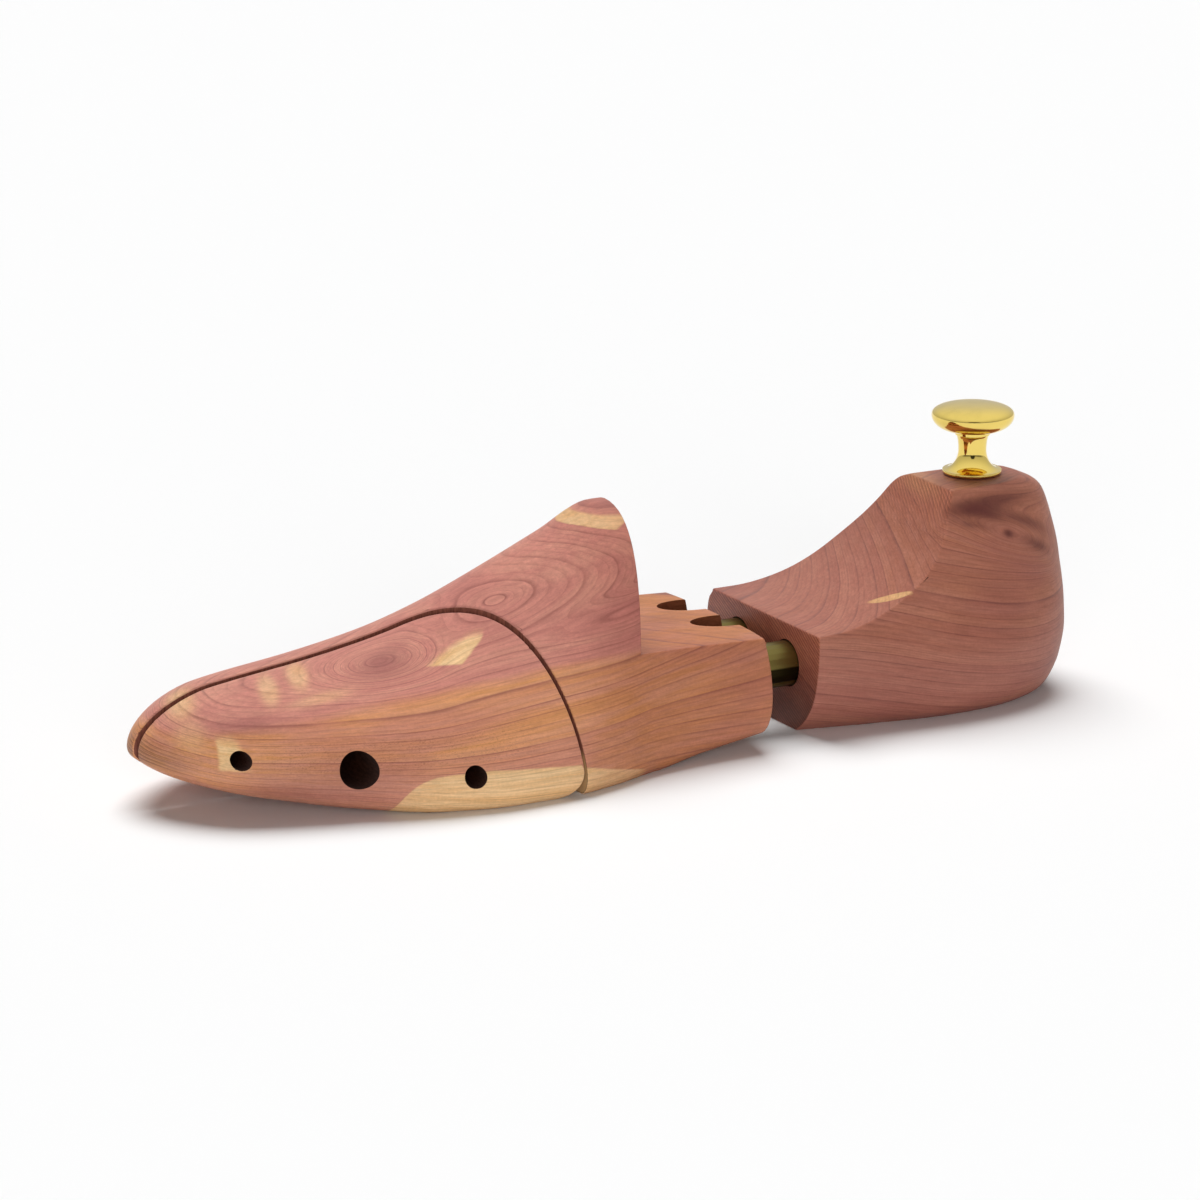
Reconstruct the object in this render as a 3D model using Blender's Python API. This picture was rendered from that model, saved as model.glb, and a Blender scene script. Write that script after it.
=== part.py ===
# Split-toe cedar shoe tree for a left shoe, with a sprung heel on two brass tubes.
# Units are metres. +X runs from toe to heel, -Y is the outer side of the foot, +Z is up.
# The origin is on the ground, below the middle of the whole tree.

import math

import bmesh
import bpy
import numpy as np
from mathutils import Matrix, Vector

# Overall sizes
FOREPART_LENGTH = 0.1748
GAP_LENGTH = 0.0125
HEEL_LENGTH = 0.0922
OUTER_REACH = 0.0445
INNER_REACH = 0.0385

# Running and seating clearances
SEAT_GAP = 0.0003
RUNNING_GAP = 0.0003
OVERRUN = 0.004

# Forepart
INSTEP_HEIGHT = 0.0673
NOSE_HEIGHT = 0.016
NOSE_LENGTH = 0.022
TOE_SKEW = 0.004
CREST_OFFSET = 0.004
SIDE_HEIGHT = 0.018
EDGE_REACH = 0.011
LEDGE_LENGTH = 0.0424
LEDGE_REAR_HEIGHT = 0.0303
LEDGE_RISE = 0.0018
INSTEP_LEAN = 0.0058
TAIL_BOW = 0.005
TAIL_BOW_POWER = 2.4
TAIL_HALF_WIDTH = 0.034
TAIL_BULGE = 0.0022
TAIL_UNDERCUT = 0.0042
TAIL_BULGE_HEIGHT = 0.0165

# Notches in the ledge
NOTCH_WIDTH = 0.0112
NOTCH_LENGTH = 0.0115
NOTCH_SPACING = 0.0184
NOTCH_OFFSET = 0.0026
NOTCH_DEPTH = 0.0046

# Seam between forepart and side block
SAW_KERF = 0.0015
SIDE_OPENING = 0.0009
SEAM_TOE_OFFSET = 0.003
SEAM_BEND_OFFSET = 0.0015
SEAM_BEND_START = 0.0755
SEAM_BEND_LENGTH = 0.0332
SIDE_CORNER_RADIUS = 0.0078
SIDE_TRAVEL_IN = 0.002
SIDE_TRAVEL_OUT = 0.004

# Heel block
HEEL_HEIGHT = 0.0601
HEEL_HALF_WIDTH = 0.0333
HEEL_WAIST = 0.021
HEEL_WIDEST = 0.045
HEEL_TRAVEL = 0.0115
SCOOP_RADIUS = 0.0495
SCOOP_INSET = 0.006
SCOOP_HEIGHT = 0.0292

# Tubes and what they hold
TUBE_HEIGHT = 0.0179
TUBE_SPACING = 0.026
TUBE_DIAMETER = 0.0125
TUBE_WALL = 0.0008
TUBE_IN_FOREPART = 0.040
TUBE_IN_HEEL = 0.033
HEEL_BORE_DEPTH = 0.048
TUBE_PLUG_LENGTH = 0.019
TUBE_PLUG_INSET = 0.0025
TUBE_PIN_DIAMETER = 0.003
TUBE_PIN_REACH = 0.003
PIN_RECESS = 0.001
HEEL_PIN_INSET = 0.014
TUBE_SPRING_WIRE = 0.0012
TUBE_SPRING_DIAMETER = 0.0092
TUBE_SPRING_CURLS = 11

# Side block guides
DOWEL_DIAMETER = 0.0054
DOWEL_FRONT_PLACE = 0.0189
DOWEL_FRONT_HEIGHT = 0.0175
DOWEL_FRONT_DEPTH = 0.014
DOWEL_FRONT_REACH = 0.0145
DOWEL_REAR_PLACE = 0.0765
DOWEL_REAR_HEIGHT = 0.0099
DOWEL_REAR_DEPTH = 0.020
DOWEL_REAR_REACH = 0.026
DOWEL_GROOVE_DEPTH = 0.0012
DOWEL_END_LAND = 0.0022
STOP_PIN_DIAMETER = 0.002
BRAD_DIAMETER = 0.0016
BRAD_BITE = 0.002
BRAD_RECESS = 0.0012
BRAD_PLACE_SHARE = 0.5

# Toe spring
TOE_HOLE_DIAMETER = 0.0112
TOE_HOLE_PLACE = 0.0473
TOE_HOLE_HEIGHT = 0.0136
TOE_SOCKET_DEPTH = 0.0145
TOE_PLUG_LENGTH = 0.0065
TOE_PLUG_REACH = 0.0085
TOE_SPRING_WIRE = 0.001
TOE_SPRING_DIAMETER = 0.0086
TOE_SPRING_CURLS = 6

# Knob, with heights above its seat
KNOB_PLACE = 0.067
KNOB_HEIGHT = 0.0197
KNOB_CAP_DIAMETER = 0.023
KNOB_CAP_LEVEL = 0.0164
KNOB_CAP_UNDERSIDE = 0.0120
KNOB_COLLAR_DIAMETER = 0.0098
KNOB_COLLAR_LEVEL = 0.0110
KNOB_NECK_DIAMETER = 0.0078
KNOB_NECK_LEVEL = 0.0066
KNOB_FLANGE_DIAMETER = 0.0164
KNOB_FLANGE_THICKNESS = 0.001
STUD_DIAMETER = 0.004
STUD_IN_KNOB = 0.0085
STUD_IN_HEEL = 0.024

# Fineness of the faceted surfaces
QUARTER_STEPS = 10
EDGE_STEPS = 5
SOLE_STEPS = 3
NOSE_RINGS = 7
BODY_RINGS = 30
HEEL_RINGS = 15
HEEL_SIDE_STEPS = 18
ROUND_SIDES = 24
KNOB_STEPS = 32
COIL_STEPS = 9

# Places worked out from the sizes above
TOTAL_LENGTH = FOREPART_LENGTH + GAP_LENGTH + HEEL_LENGTH
TOE_X = -TOTAL_LENGTH / 2
TAIL_X = TOE_X + FOREPART_LENGTH
HEEL_X = TAIL_X + GAP_LENGTH
MID_Y = (OUTER_REACH - INNER_REACH) / 2
TUBE_RADIUS = TUBE_DIAMETER / 2
BORE_RADIUS = TUBE_RADIUS + RUNNING_GAP

# Forepart sections: shares of the forepart's length, reaches and heights
STATION_SHARES = (0.0, 0.08, 0.16, 0.28, 0.40, 0.51, 0.61, 0.69, 0.77, 0.87, 1.0)
OUTER_SHARES = (0.38, 0.53, 0.64, 0.79, 0.935, 1.0, 0.985, 0.91, 0.80, 0.74, 0.715)
INNER_SHARES = (0.44, 0.60, 0.71, 0.81, 0.90, 0.965, 1.0, 0.985, 0.92, 0.85, 0.80)
CREST_SHARES = (0.42, 0.450, 0.482, 0.525, 0.585, 0.677, 0.797, 0.900, 1.0, 1.0, 0.95)
CREST_OFFSET_SHARES = (0.0, 0.3, 0.6, 0.8, 0.9, 1.0, 0.7, 0.4, 0.1, 0.0, 0.0)
SIDE_HEIGHT_SHARES = (0.85, 0.80, 0.75, 0.64, 0.53, 0.45, 0.45, 0.50, 0.55, 0.65, 0.70)
BOTTOM_SHARES = (0.55, 0.475, 0.31, 0.115, 0.01, 0.0, 0.0, 0.0, 0.0, 0.11, 0.275)
EDGE_SHARES = (1.0, 1.0, 0.9, 0.60, 0.40, 0.32, 0.28, 0.26, 0.3, 0.45, 0.6)
LEAN_SHARES = (0.0, 0.0, 0.0, 0.05, 0.12, 0.25, 0.33, 0.30, 0.25, 0.22, 0.20)
OUTER_RISE_SHARES = (0.55, 0.55, 0.55, 0.52, 0.46, 0.38, 0.33, 0.36, 0.40, 0.40, 0.40)
OUTER_CREST_SHARES = (0.55, 0.55, 0.55, 0.52, 0.44, 0.28, 0.24, 0.42, 0.68, 0.65, 0.60)
INNER_RISE_SHARES = (0.50, 0.46, 0.44, 0.42, 0.42, 0.42, 0.40, 0.40, 0.40, 0.40, 0.40)
INNER_CREST_SHARES = (0.48, 0.42, 0.40, 0.38, 0.38, 0.37, 0.34, 0.32, 0.34, 0.45, 0.55)
EDGE_DROP_SHARE = 0.6
NOSE_START_SHARE = 0.4
SKEW_END_SHARE = 0.5

# Heel slices: shares of the heel's height, half width and length
SLICE_SHARES = (0.0, 0.04, 0.10, 0.18, 0.29, 0.43, 0.475, 0.52, 0.58, 0.68, 0.79, 0.87, 0.93, 0.97, 1.0)
FRONT_SHARES = (0.54, 0.64, 0.745, 0.83, 0.885, 0.91, 0.91, 0.86,
                0.80, 0.74, 0.66, 0.56, 0.49, 0.45, 0.43)
INNER_FRONT_SHARES = (0.54, 0.64, 0.745, 0.85, 0.93, 0.90, 0.835, 0.81,
                      0.77, 0.71, 0.63, 0.55, 0.49, 0.45, 0.43)
WAIST_SHARES = (0.67, 0.78, 0.86, 0.905, 0.925, 0.88, 0.845, 0.805,
                0.76, 0.70, 0.63, 0.555, 0.485, 0.445, 0.43)
OUTER_SLICE_SHARES = (0.77, 0.885, 0.95, 0.985, 0.985, 0.925, 0.89, 0.855,
                      0.81, 0.74, 0.635, 0.54, 0.48, 0.45, 0.43)
INNER_SLICE_SHARES = (0.77, 0.885, 0.95, 0.985, 0.985, 0.925, 0.88, 0.84,
                      0.785, 0.71, 0.60, 0.52, 0.46, 0.38, 0.24)
LENGTH_SHARES = (0.90, 0.932, 0.956, 0.977, 0.994, 0.999, 1.0, 0.999,
                 0.996, 0.987, 0.972, 0.957, 0.939, 0.909, 0.86)
ROUND_POWERS = (2.4, 2.4, 2.4, 2.4, 2.4, 2.4, 2.4, 2.4, 2.4, 2.5, 2.6, 2.8, 3.0, 3.2, 3.4)

CEDAR = (0.50, 0.235, 0.165, 1.0)
BRASS = (0.83, 0.60, 0.20, 1.0)
DULL_BRASS = (0.50, 0.40, 0.17, 1.0)
STEEL = (0.55, 0.55, 0.56, 1.0)
PLUG_WOOD = (0.36, 0.20, 0.13, 1.0)


def clear_scene():
    for item in list(bpy.data.objects):
        bpy.data.objects.remove(item, do_unlink=True)


def make_material(name, colour, roughness, metallic):
    material = bpy.data.materials.new(name)
    material.use_nodes = True
    shader = material.node_tree.nodes["Principled BSDF"]
    shader.inputs["Base Color"].default_value = colour
    shader.inputs["Roughness"].default_value = roughness
    shader.inputs["Metallic"].default_value = metallic
    material.diffuse_color = colour
    return material


def add_object(name, data, material, place=(0, 0, 0), carrier=None):
    """Links an object at a world place, with an optional carrier empty as its parent."""
    piece = bpy.data.objects.new(name, data)
    bpy.context.scene.collection.objects.link(piece)
    piece.location = Vector(place)
    if carrier is not None:
        piece.parent = carrier
        piece.location = Vector(place) - carrier.location
    if material is not None:
        data.materials.append(material)
    return piece


def add_carrier(name, place):
    """An empty on a joint's axis, which carries the pieces that move with it."""
    carrier = bpy.data.objects.new(name, None)
    carrier.location = Vector(place)
    bpy.context.scene.collection.objects.link(carrier)
    return carrier


def mesh_from(name, build):
    data = bpy.data.meshes.new(name)
    shape = bmesh.new()
    build(shape)
    bmesh.ops.recalc_face_normals(shape, faces=shape.faces)
    shape.to_mesh(data)
    shape.free()
    return data


def shade_round(data, sharp_degrees=35):
    data.shade_smooth()
    data.set_sharp_from_angle(angle=math.radians(sharp_degrees))


def loft_mesh(name, rings):
    """One closed skin over a list of rings, each a closed loop of as many points."""
    def build(shape):
        loops = [[shape.verts.new(point) for point in ring] for ring in rings]
        count = len(rings[0])
        for lower, upper in zip(loops, loops[1:]):
            for i in range(count):
                j = (i + 1) % count
                shape.faces.new((lower[i], lower[j], upper[j], upper[i]))
        bmesh.ops.triangulate(shape, faces=shape.faces[:])
        shape.faces.new(loops[0])
        shape.faces.new(loops[-1])
    return mesh_from(name, build)


def prism_mesh(name, outline, vector):
    """An outline of points pushed along a vector."""
    def build(shape):
        face = shape.faces.new([shape.verts.new(point) for point in outline])
        grown = bmesh.ops.extrude_face_region(shape, geom=[face])
        moved = [item for item in grown["geom"] if isinstance(item, bmesh.types.BMVert)]
        bmesh.ops.translate(shape, verts=moved, vec=Vector(vector))
    return mesh_from(name, build)


def turned_mesh(name, profile, sides):
    """A profile of (radius, height) points, from the axis round to the axis, spun about Z."""
    def build(shape):
        points = [shape.verts.new((radius, 0, height)) for radius, height in profile]
        edges = [shape.edges.new(pair) for pair in zip(points, points[1:])]
        bmesh.ops.spin(shape, geom=points + edges, cent=(0, 0, 0), axis=(0, 0, 1),
                       angle=math.tau, steps=sides)
        bmesh.ops.remove_doubles(shape, verts=shape.verts, dist=SEAT_GAP / 10)
    return mesh_from(name, build)


def rod_mesh(name, length, radius, bore_radius=0, sides=ROUND_SIDES):
    """A round bar or pipe along +X from the origin."""
    if bore_radius:
        profile = [(bore_radius, 0), (radius, 0), (radius, length), (bore_radius, length), (bore_radius, 0)]
    else:
        profile = [(0, 0), (radius, 0), (radius, length), (0, length)]
    data = turned_mesh(name, profile, sides)
    data.transform(Matrix.Rotation(math.pi / 2, 4, "Y"))
    shade_round(data)
    return data


AXIS_TURNS = {
    "+X": Matrix.Identity(4),
    "+Y": Matrix.Rotation(math.pi / 2, 4, "Z"),
    "-Y": Matrix.Rotation(-math.pi / 2, 4, "Z"),
    "+Z": Matrix.Rotation(-math.pi / 2, 4, "Y"),
}


def add_rod(name, start, axis, length, radius, material, carrier=None, bore_radius=0):
    data = rod_mesh(name, length, radius, bore_radius)
    data.transform(AXIS_TURNS[axis])
    return add_object(name, data, material, start, carrier)


def hide_cutter(cutter):
    cutter.hide_render = True
    cutter.display_type = "WIRE"


def cut(target, cutter, operation="DIFFERENCE"):
    """A Boolean that takes a hidden cutter from a piece, or keeps what they share."""
    hide_cutter(cutter)
    change = target.modifiers.new(cutter.name, "BOOLEAN")
    change.operation = operation
    change.solver = "EXACT"
    change.object = cutter


def drill(target, name, start, axis, length, radius):
    cut(target, add_rod(name, start, axis, length, radius, None))


def eased(places, values):
    """A smooth function through values that never swings past them."""
    places = np.array(places, float)
    values = np.array(values, float)
    steps = np.diff(places)
    slopes = np.diff(values) / steps
    tangents = np.zeros(len(values))
    tangents[0] = slopes[0]
    tangents[-1] = slopes[-1]
    for i in range(1, len(values) - 1):
        before, after = slopes[i - 1], slopes[i]
        if before * after > 0:
            near_weight = 2 * steps[i] + steps[i - 1]
            far_weight = steps[i] + 2 * steps[i - 1]
            tangents[i] = (near_weight + far_weight) / (near_weight / before + far_weight / after)

    def value_at(place):
        i = int(np.clip(np.searchsorted(places, place) - 1, 0, len(steps) - 1))
        step = steps[i]
        t = (place - places[i]) / step
        start_share = 2 * t ** 3 - 3 * t ** 2 + 1
        end_share = 3 * t ** 2 - 2 * t ** 3
        start_pull = (t ** 3 - 2 * t ** 2 + t) * step
        end_pull = (t ** 3 - t ** 2) * step
        return float(start_share * values[i] + end_share * values[i + 1]
                     + start_pull * tangents[i] + end_pull * tangents[i + 1])

    return value_at


def bezier(start, start_handle, end_handle, end, steps):
    """Points of a Bezier curve without its last point."""
    points = []
    for i in range(steps):
        t = i / steps
        u = 1 - t
        points.append(tuple(u ** 3 * a + 3 * u * u * t * b + 3 * u * t * t * c + t ** 3 * d
                            for a, b, c, d in zip(start, start_handle, end_handle, end)))
    return points


# Forepart surface

outer_share = eased(STATION_SHARES, OUTER_SHARES)
inner_share = eased(STATION_SHARES, INNER_SHARES)
crest_share = eased(STATION_SHARES, CREST_SHARES)
crest_offset_share = eased(STATION_SHARES, CREST_OFFSET_SHARES)
side_height_share = eased(STATION_SHARES, SIDE_HEIGHT_SHARES)
bottom_share = eased(STATION_SHARES, BOTTOM_SHARES)
edge_share = eased(STATION_SHARES, EDGE_SHARES)
lean_share = eased(STATION_SHARES, LEAN_SHARES)
outer_rise_share = eased(STATION_SHARES, OUTER_RISE_SHARES)
outer_crest_share = eased(STATION_SHARES, OUTER_CREST_SHARES)
inner_rise_share = eased(STATION_SHARES, INNER_RISE_SHARES)
inner_crest_share = eased(STATION_SHARES, INNER_CREST_SHARES)


def centre_line(share):
    """The forepart's middle in plan, which swings inward at the toe."""
    left_share = max(0.0, 1 - share / SKEW_END_SHARE)
    return MID_Y + TOE_SKEW * left_share


def nose_share(distance):
    """How far a section has opened at a distance behind the toe's tip."""
    left_share = max(0.0, 1 - distance / NOSE_LENGTH)
    return math.sqrt(1 - left_share ** 2)


def forepart_ring(share):
    """The section across the forepart at a share of its length, as (x, y, z) points."""
    distance = share * FOREPART_LENGTH
    opened = nose_share(distance)
    middle = centre_line(share)
    outer_y = middle - (OUTER_REACH + centre_line(share) - MID_Y) * outer_share(share) * opened
    inner_y = middle + (INNER_REACH - centre_line(share) + MID_Y) * inner_share(share) * opened
    crest_y = middle + CREST_OFFSET * crest_offset_share(share) * opened
    crest_z = NOSE_HEIGHT + (INSTEP_HEIGHT * crest_share(share) - NOSE_HEIGHT) * opened
    bottom_z = NOSE_HEIGHT * (1 - (1 - bottom_share(share)) * opened)
    side_z = NOSE_HEIGHT + (SIDE_HEIGHT * side_height_share(share) - NOSE_HEIGHT) * opened
    edge = EDGE_REACH * edge_share(share) * opened
    rise = crest_z - side_z
    drop = (side_z - bottom_z) * EDGE_DROP_SHARE
    inset = edge * (1 - EDGE_DROP_SHARE)
    lean = lean_share(share)
    outer_rise = rise * outer_rise_share(share)
    inner_rise = rise * inner_rise_share(share)
    outer_run = (crest_y - outer_y) * outer_crest_share(share)
    inner_run = (inner_y - crest_y) * inner_crest_share(share)
    points = bezier((outer_y, side_z), (outer_y + lean * outer_rise, side_z + outer_rise),
                    (crest_y - outer_run, crest_z), (crest_y, crest_z), QUARTER_STEPS)
    points += bezier((crest_y, crest_z), (crest_y + inner_run, crest_z),
                     (inner_y - lean * inner_rise, side_z + inner_rise), (inner_y, side_z), QUARTER_STEPS)
    points += bezier((inner_y, side_z), (inner_y + lean * drop, side_z - drop),
                     (inner_y - inset, bottom_z), (inner_y - edge, bottom_z), EDGE_STEPS)
    for i in range(SOLE_STEPS):
        t = i / SOLE_STEPS
        points.append(((inner_y - edge) * (1 - t) + (outer_y + edge) * t, bottom_z))
    points += bezier((outer_y + edge, bottom_z), (outer_y + inset, bottom_z),
                     (outer_y - lean * drop, side_z - drop), (outer_y, side_z), EDGE_STEPS)
    return [(TOE_X + distance, y, z) for y, z in points]


def forepart_shares():
    """Shares of the length where rings stand, closer together round the nose."""
    shares = []
    for i in range(NOSE_RINGS):
        angle = math.pi / 2 * (i + NOSE_START_SHARE) / NOSE_RINGS
        shares.append(NOSE_LENGTH * (1 - math.cos(angle)) / FOREPART_LENGTH)
    start = NOSE_LENGTH / FOREPART_LENGTH
    for i in range(BODY_RINGS + 1):
        shares.append(start + (1 - start) * i / BODY_RINGS)
    return shares


def whole_forepart(name):
    """The forepart as it is turned, before it is sawn and cut."""
    data = loft_mesh(name, [forepart_ring(share) for share in forepart_shares()])
    shade_round(data)
    return data


def seam_line(offset, shift):
    """The seam's plan, from ahead of the toe round to the outer side.

    offset moves it square to itself towards the side block, and shift moves it outward.
    """
    bend_x = TOE_X + SEAM_BEND_START
    bend_y = MID_Y + SEAM_BEND_OFFSET
    toe_y = MID_Y + SEAM_TOE_OFFSET
    depth = OUTER_REACH + SEAM_BEND_OFFSET
    points = [(TOE_X - OVERRUN, toe_y - offset - shift)]
    for i in range(ROUND_SIDES + 1):
        angle = math.pi / 2 * i / ROUND_SIDES
        normal = Vector((math.sin(angle) / SEAM_BEND_LENGTH, math.cos(angle) / depth)).normalized()
        points.append((bend_x + SEAM_BEND_LENGTH * math.sin(angle) - offset * normal.x,
                       bend_y - depth * (1 - math.cos(angle)) - offset * normal.y - shift))
    points.append((points[-1][0], MID_Y - OUTER_REACH - OVERRUN))
    return points


def side_region(name, offset, shift):
    """A prism that holds everything on the outer side of the seam."""
    outline = seam_line(offset, shift)
    outline.append((TOE_X - OVERRUN, MID_Y - OUTER_REACH - OVERRUN))
    floor_points = [(x, y, -OVERRUN) for x, y in outline]
    data = prism_mesh(name, floor_points, (0, 0, INSTEP_HEIGHT + 2 * OVERRUN))
    return add_object(name, data, None)


def side_corner_region():
    """What is rounded off the side block's lower rear corner, seen from the side."""
    radius = SIDE_CORNER_RADIUS
    end_x = TOE_X + SEAM_BEND_START + SEAM_BEND_LENGTH - SAW_KERF
    low_y = MID_Y - OUTER_REACH - OVERRUN
    outline = [(end_x + OVERRUN, low_y, radius), (end_x + OVERRUN, low_y, -OVERRUN),
               (end_x - radius, low_y, -OVERRUN)]
    for i in range(QUARTER_STEPS + 1):
        angle = math.pi / 2 * i / QUARTER_STEPS
        outline.append((end_x - radius + radius * math.sin(angle), low_y, radius - radius * math.cos(angle)))
    span = OUTER_REACH + INNER_REACH + 2 * OVERRUN
    return add_object("side_corner_cutter", prism_mesh("side_corner_cutter", outline, (0, span, 0)), None)


def ledge_region():
    """What is taken off behind the instep, above the ledge."""
    face_x = TAIL_X - LEDGE_LENGTH
    front_z = LEDGE_REAR_HEIGHT + LEDGE_RISE
    top_z = INSTEP_HEIGHT + OVERRUN
    lean = INSTEP_LEAN * (top_z - front_z) / (INSTEP_HEIGHT - front_z)
    fall = LEDGE_RISE * OVERRUN / LEDGE_LENGTH
    low_y = MID_Y - OUTER_REACH - OVERRUN
    outline = [(face_x, low_y, front_z), (TAIL_X + OVERRUN, low_y, LEDGE_REAR_HEIGHT - fall),
               (TAIL_X + OVERRUN, low_y, top_z), (face_x + lean, low_y, top_z)]
    span = OUTER_REACH + INNER_REACH + 2 * OVERRUN
    return add_object("ledge_cutter", prism_mesh("ledge_cutter", outline, (0, span, 0)), None)


def tail_region():
    """What is taken off behind the rear end of the forepart, which bows out and bulges."""
    half = TAIL_HALF_WIDTH
    far = half + OVERRUN
    plan = [(TAIL_X + OVERRUN, -far), (TAIL_X - TAIL_BOW, -far)]
    for i in range(ROUND_SIDES + 1):
        side = math.sin((2 * i / ROUND_SIDES - 1) * math.pi / 2)
        bow = TAIL_BOW * (1 - (1 - abs(side) ** TAIL_BOW_POWER) ** (1 / TAIL_BOW_POWER))
        plan.append((TAIL_X - bow, half * side))
    plan += [(TAIL_X - TAIL_BOW, far), (TAIL_X + OVERRUN, far)]
    rings = []
    for i in range(QUARTER_STEPS + 1):
        z = (LEDGE_REAR_HEIGHT + 2 * OVERRUN) * i / QUARTER_STEPS - OVERRUN
        depth = TAIL_BULGE if z > TAIL_BULGE_HEIGHT else TAIL_UNDERCUT
        pull = depth * ((z - TAIL_BULGE_HEIGHT) / TAIL_BULGE_HEIGHT) ** 2
        rings.append([(x - pull if x <= TAIL_X else x, MID_Y + y, z) for x, y in plan])
    return add_object("tail_cutter", loft_mesh("tail_cutter", rings), None)


def notch_region(name, centre_y):
    """A notch with a pointed front end, open to the ledge and to the rear."""
    tip_x = TAIL_X - NOTCH_LENGTH
    floor_z = LEDGE_REAR_HEIGHT - NOTCH_DEPTH
    half = NOTCH_WIDTH / 2
    side = []
    for i in range(QUARTER_STEPS + 1):
        angle = math.pi / 2 * i / QUARTER_STEPS
        side.append((tip_x + NOTCH_LENGTH * i / QUARTER_STEPS, half * math.sin(angle)))
    side.append((TAIL_X + OVERRUN, half))
    outline = [(x, centre_y + y, floor_z) for x, y in side]
    outline += [(x, centre_y - y, floor_z) for x, y in reversed(side[1:])]
    return add_object(name, prism_mesh(name, outline, (0, 0, NOTCH_DEPTH + OVERRUN)), None)


# Heel surface

slice_front_share = eased(SLICE_SHARES, FRONT_SHARES)
slice_inner_front_share = eased(SLICE_SHARES, INNER_FRONT_SHARES)
slice_outer_share = eased(SLICE_SHARES, OUTER_SLICE_SHARES)
slice_inner_share = eased(SLICE_SHARES, INNER_SLICE_SHARES)
slice_waist_share = eased(SLICE_SHARES, WAIST_SHARES)
slice_length_share = eased(SLICE_SHARES, LENGTH_SHARES)
slice_round_power = eased(SLICE_SHARES, ROUND_POWERS)


def heel_side(height_share, front_share, width_share):
    """One side of a heel slice as (distance from the front, distance from the middle)."""
    front = HEEL_HALF_WIDTH * front_share
    waist = HEEL_HALF_WIDTH * slice_waist_share(height_share)
    widest = HEEL_HALF_WIDTH * width_share
    reach = HEEL_LENGTH * slice_length_share(height_share)
    power = slice_round_power(height_share)
    front_side = eased((0, HEEL_WAIST, HEEL_WIDEST, reach), (front, waist, widest, widest))
    points = []
    for i in range(HEEL_SIDE_STEPS + 1):
        x = reach * math.sin(math.pi / 2 * i / HEEL_SIDE_STEPS)
        if x < HEEL_WIDEST:
            points.append((x, front_side(x)))
        else:
            back = min(1.0, (x - HEEL_WIDEST) / (reach - HEEL_WIDEST))
            points.append((x, widest * (1 - back ** power) ** (1 / power)))
    return points


def heel_ring(height_share):
    outer = heel_side(height_share, slice_front_share(height_share), slice_outer_share(height_share))
    inner = heel_side(height_share, slice_inner_front_share(height_share), slice_inner_share(height_share))
    z = HEEL_HEIGHT * height_share
    ring = [(HEEL_X + x, MID_Y - y, z) for x, y in outer]
    ring += [(HEEL_X + x, MID_Y + y, z) for x, y in reversed(inner[:-1])]
    return ring


def heel_shares():
    """Heights of the slices, closer together near the sole and the top."""
    return [(1 - math.cos(math.pi * i / HEEL_RINGS)) / 2 for i in range(HEEL_RINGS + 1)]


def scoop_region():
    """The round hollow across the heel, between its front edge and its top."""
    centre_x = HEEL_X + SCOOP_INSET
    centre_z = SCOOP_HEIGHT + SCOOP_RADIUS
    low_y = MID_Y - HEEL_HALF_WIDTH - OVERRUN
    top_z = HEEL_HEIGHT + OVERRUN
    end_angle = math.acos((centre_z - top_z) / SCOOP_RADIUS)
    outline = [(HEEL_X - OVERRUN, low_y, top_z), (HEEL_X - OVERRUN, low_y, SCOOP_HEIGHT)]
    for i in range(ROUND_SIDES + 1):
        angle = end_angle * i / ROUND_SIDES
        outline.append((centre_x + SCOOP_RADIUS * math.sin(angle), low_y,
                        centre_z - SCOOP_RADIUS * math.cos(angle)))
    span = 2 * (HEEL_HALF_WIDTH + OVERRUN)
    return add_object("scoop_cutter", prism_mesh("scoop_cutter", outline, (0, span, 0)), None)


def spring_object(name, start, axis, length, diameter, wire, curls, material):
    """A compression spring along an axis, closed up at both ends, as one tube."""
    coil_radius = (diameter - wire) / 2
    run = length - wire
    steps = curls * COIL_STEPS
    turn = AXIS_TURNS[axis]
    points = []
    for i in range(steps + 1):
        share = i / steps
        angle = math.tau * curls * share
        points.append(turn @ Vector((wire / 2 + run * share, coil_radius * math.cos(angle),
                                     coil_radius * math.sin(angle))))
    data = bpy.data.curves.new(name, "CURVE")
    data.dimensions = "3D"
    data.bevel_depth = wire / 2
    data.bevel_resolution = 1
    data.use_fill_caps = True
    spline = data.splines.new("POLY")
    spline.points.add(len(points) - 1)
    for item, point in zip(spline.points, points):
        item.co = (*point, 1)
    least = min((points[i] - points[j]).length - wire
                for i in range(len(points)) for j in range(i + COIL_STEPS // 2, len(points)))
    print(name, "least gap to itself in mm:", round(least / 0.001, 2))
    return add_object(name, data, material, start)


# Pieces

def build_forepart(materials):
    forepart = add_object("forepart_block", whole_forepart("forepart_block"), materials["cedar"])
    cut(forepart, side_region("seam_cutter", 0, 0))
    cut(forepart, ledge_region())
    cut(forepart, tail_region())
    for name, side in (("notch_cutter_outer", -1), ("notch_cutter_inner", 1)):
        cut(forepart, notch_region(name, MID_Y + NOTCH_OFFSET + side * NOTCH_SPACING / 2))
    return forepart


def build_side_block(materials, carrier):
    data = whole_forepart("toe_side_block")
    data.transform(Matrix.Translation(-carrier.location))
    block = add_object("toe_side_block", data, materials["cedar"], carrier.location, carrier)
    cut(block, side_region("side_keeper", SAW_KERF, SIDE_OPENING), "INTERSECT")
    cut(block, side_corner_region())
    return block


def build_heel(materials, carrier):
    data = loft_mesh("heel_block", [heel_ring(share) for share in heel_shares()])
    shade_round(data)
    data.transform(Matrix.Translation(-carrier.location))
    heel = add_object("heel_block", data, materials["cedar"], carrier.location, carrier)
    cut(heel, scoop_region())
    return heel


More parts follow.
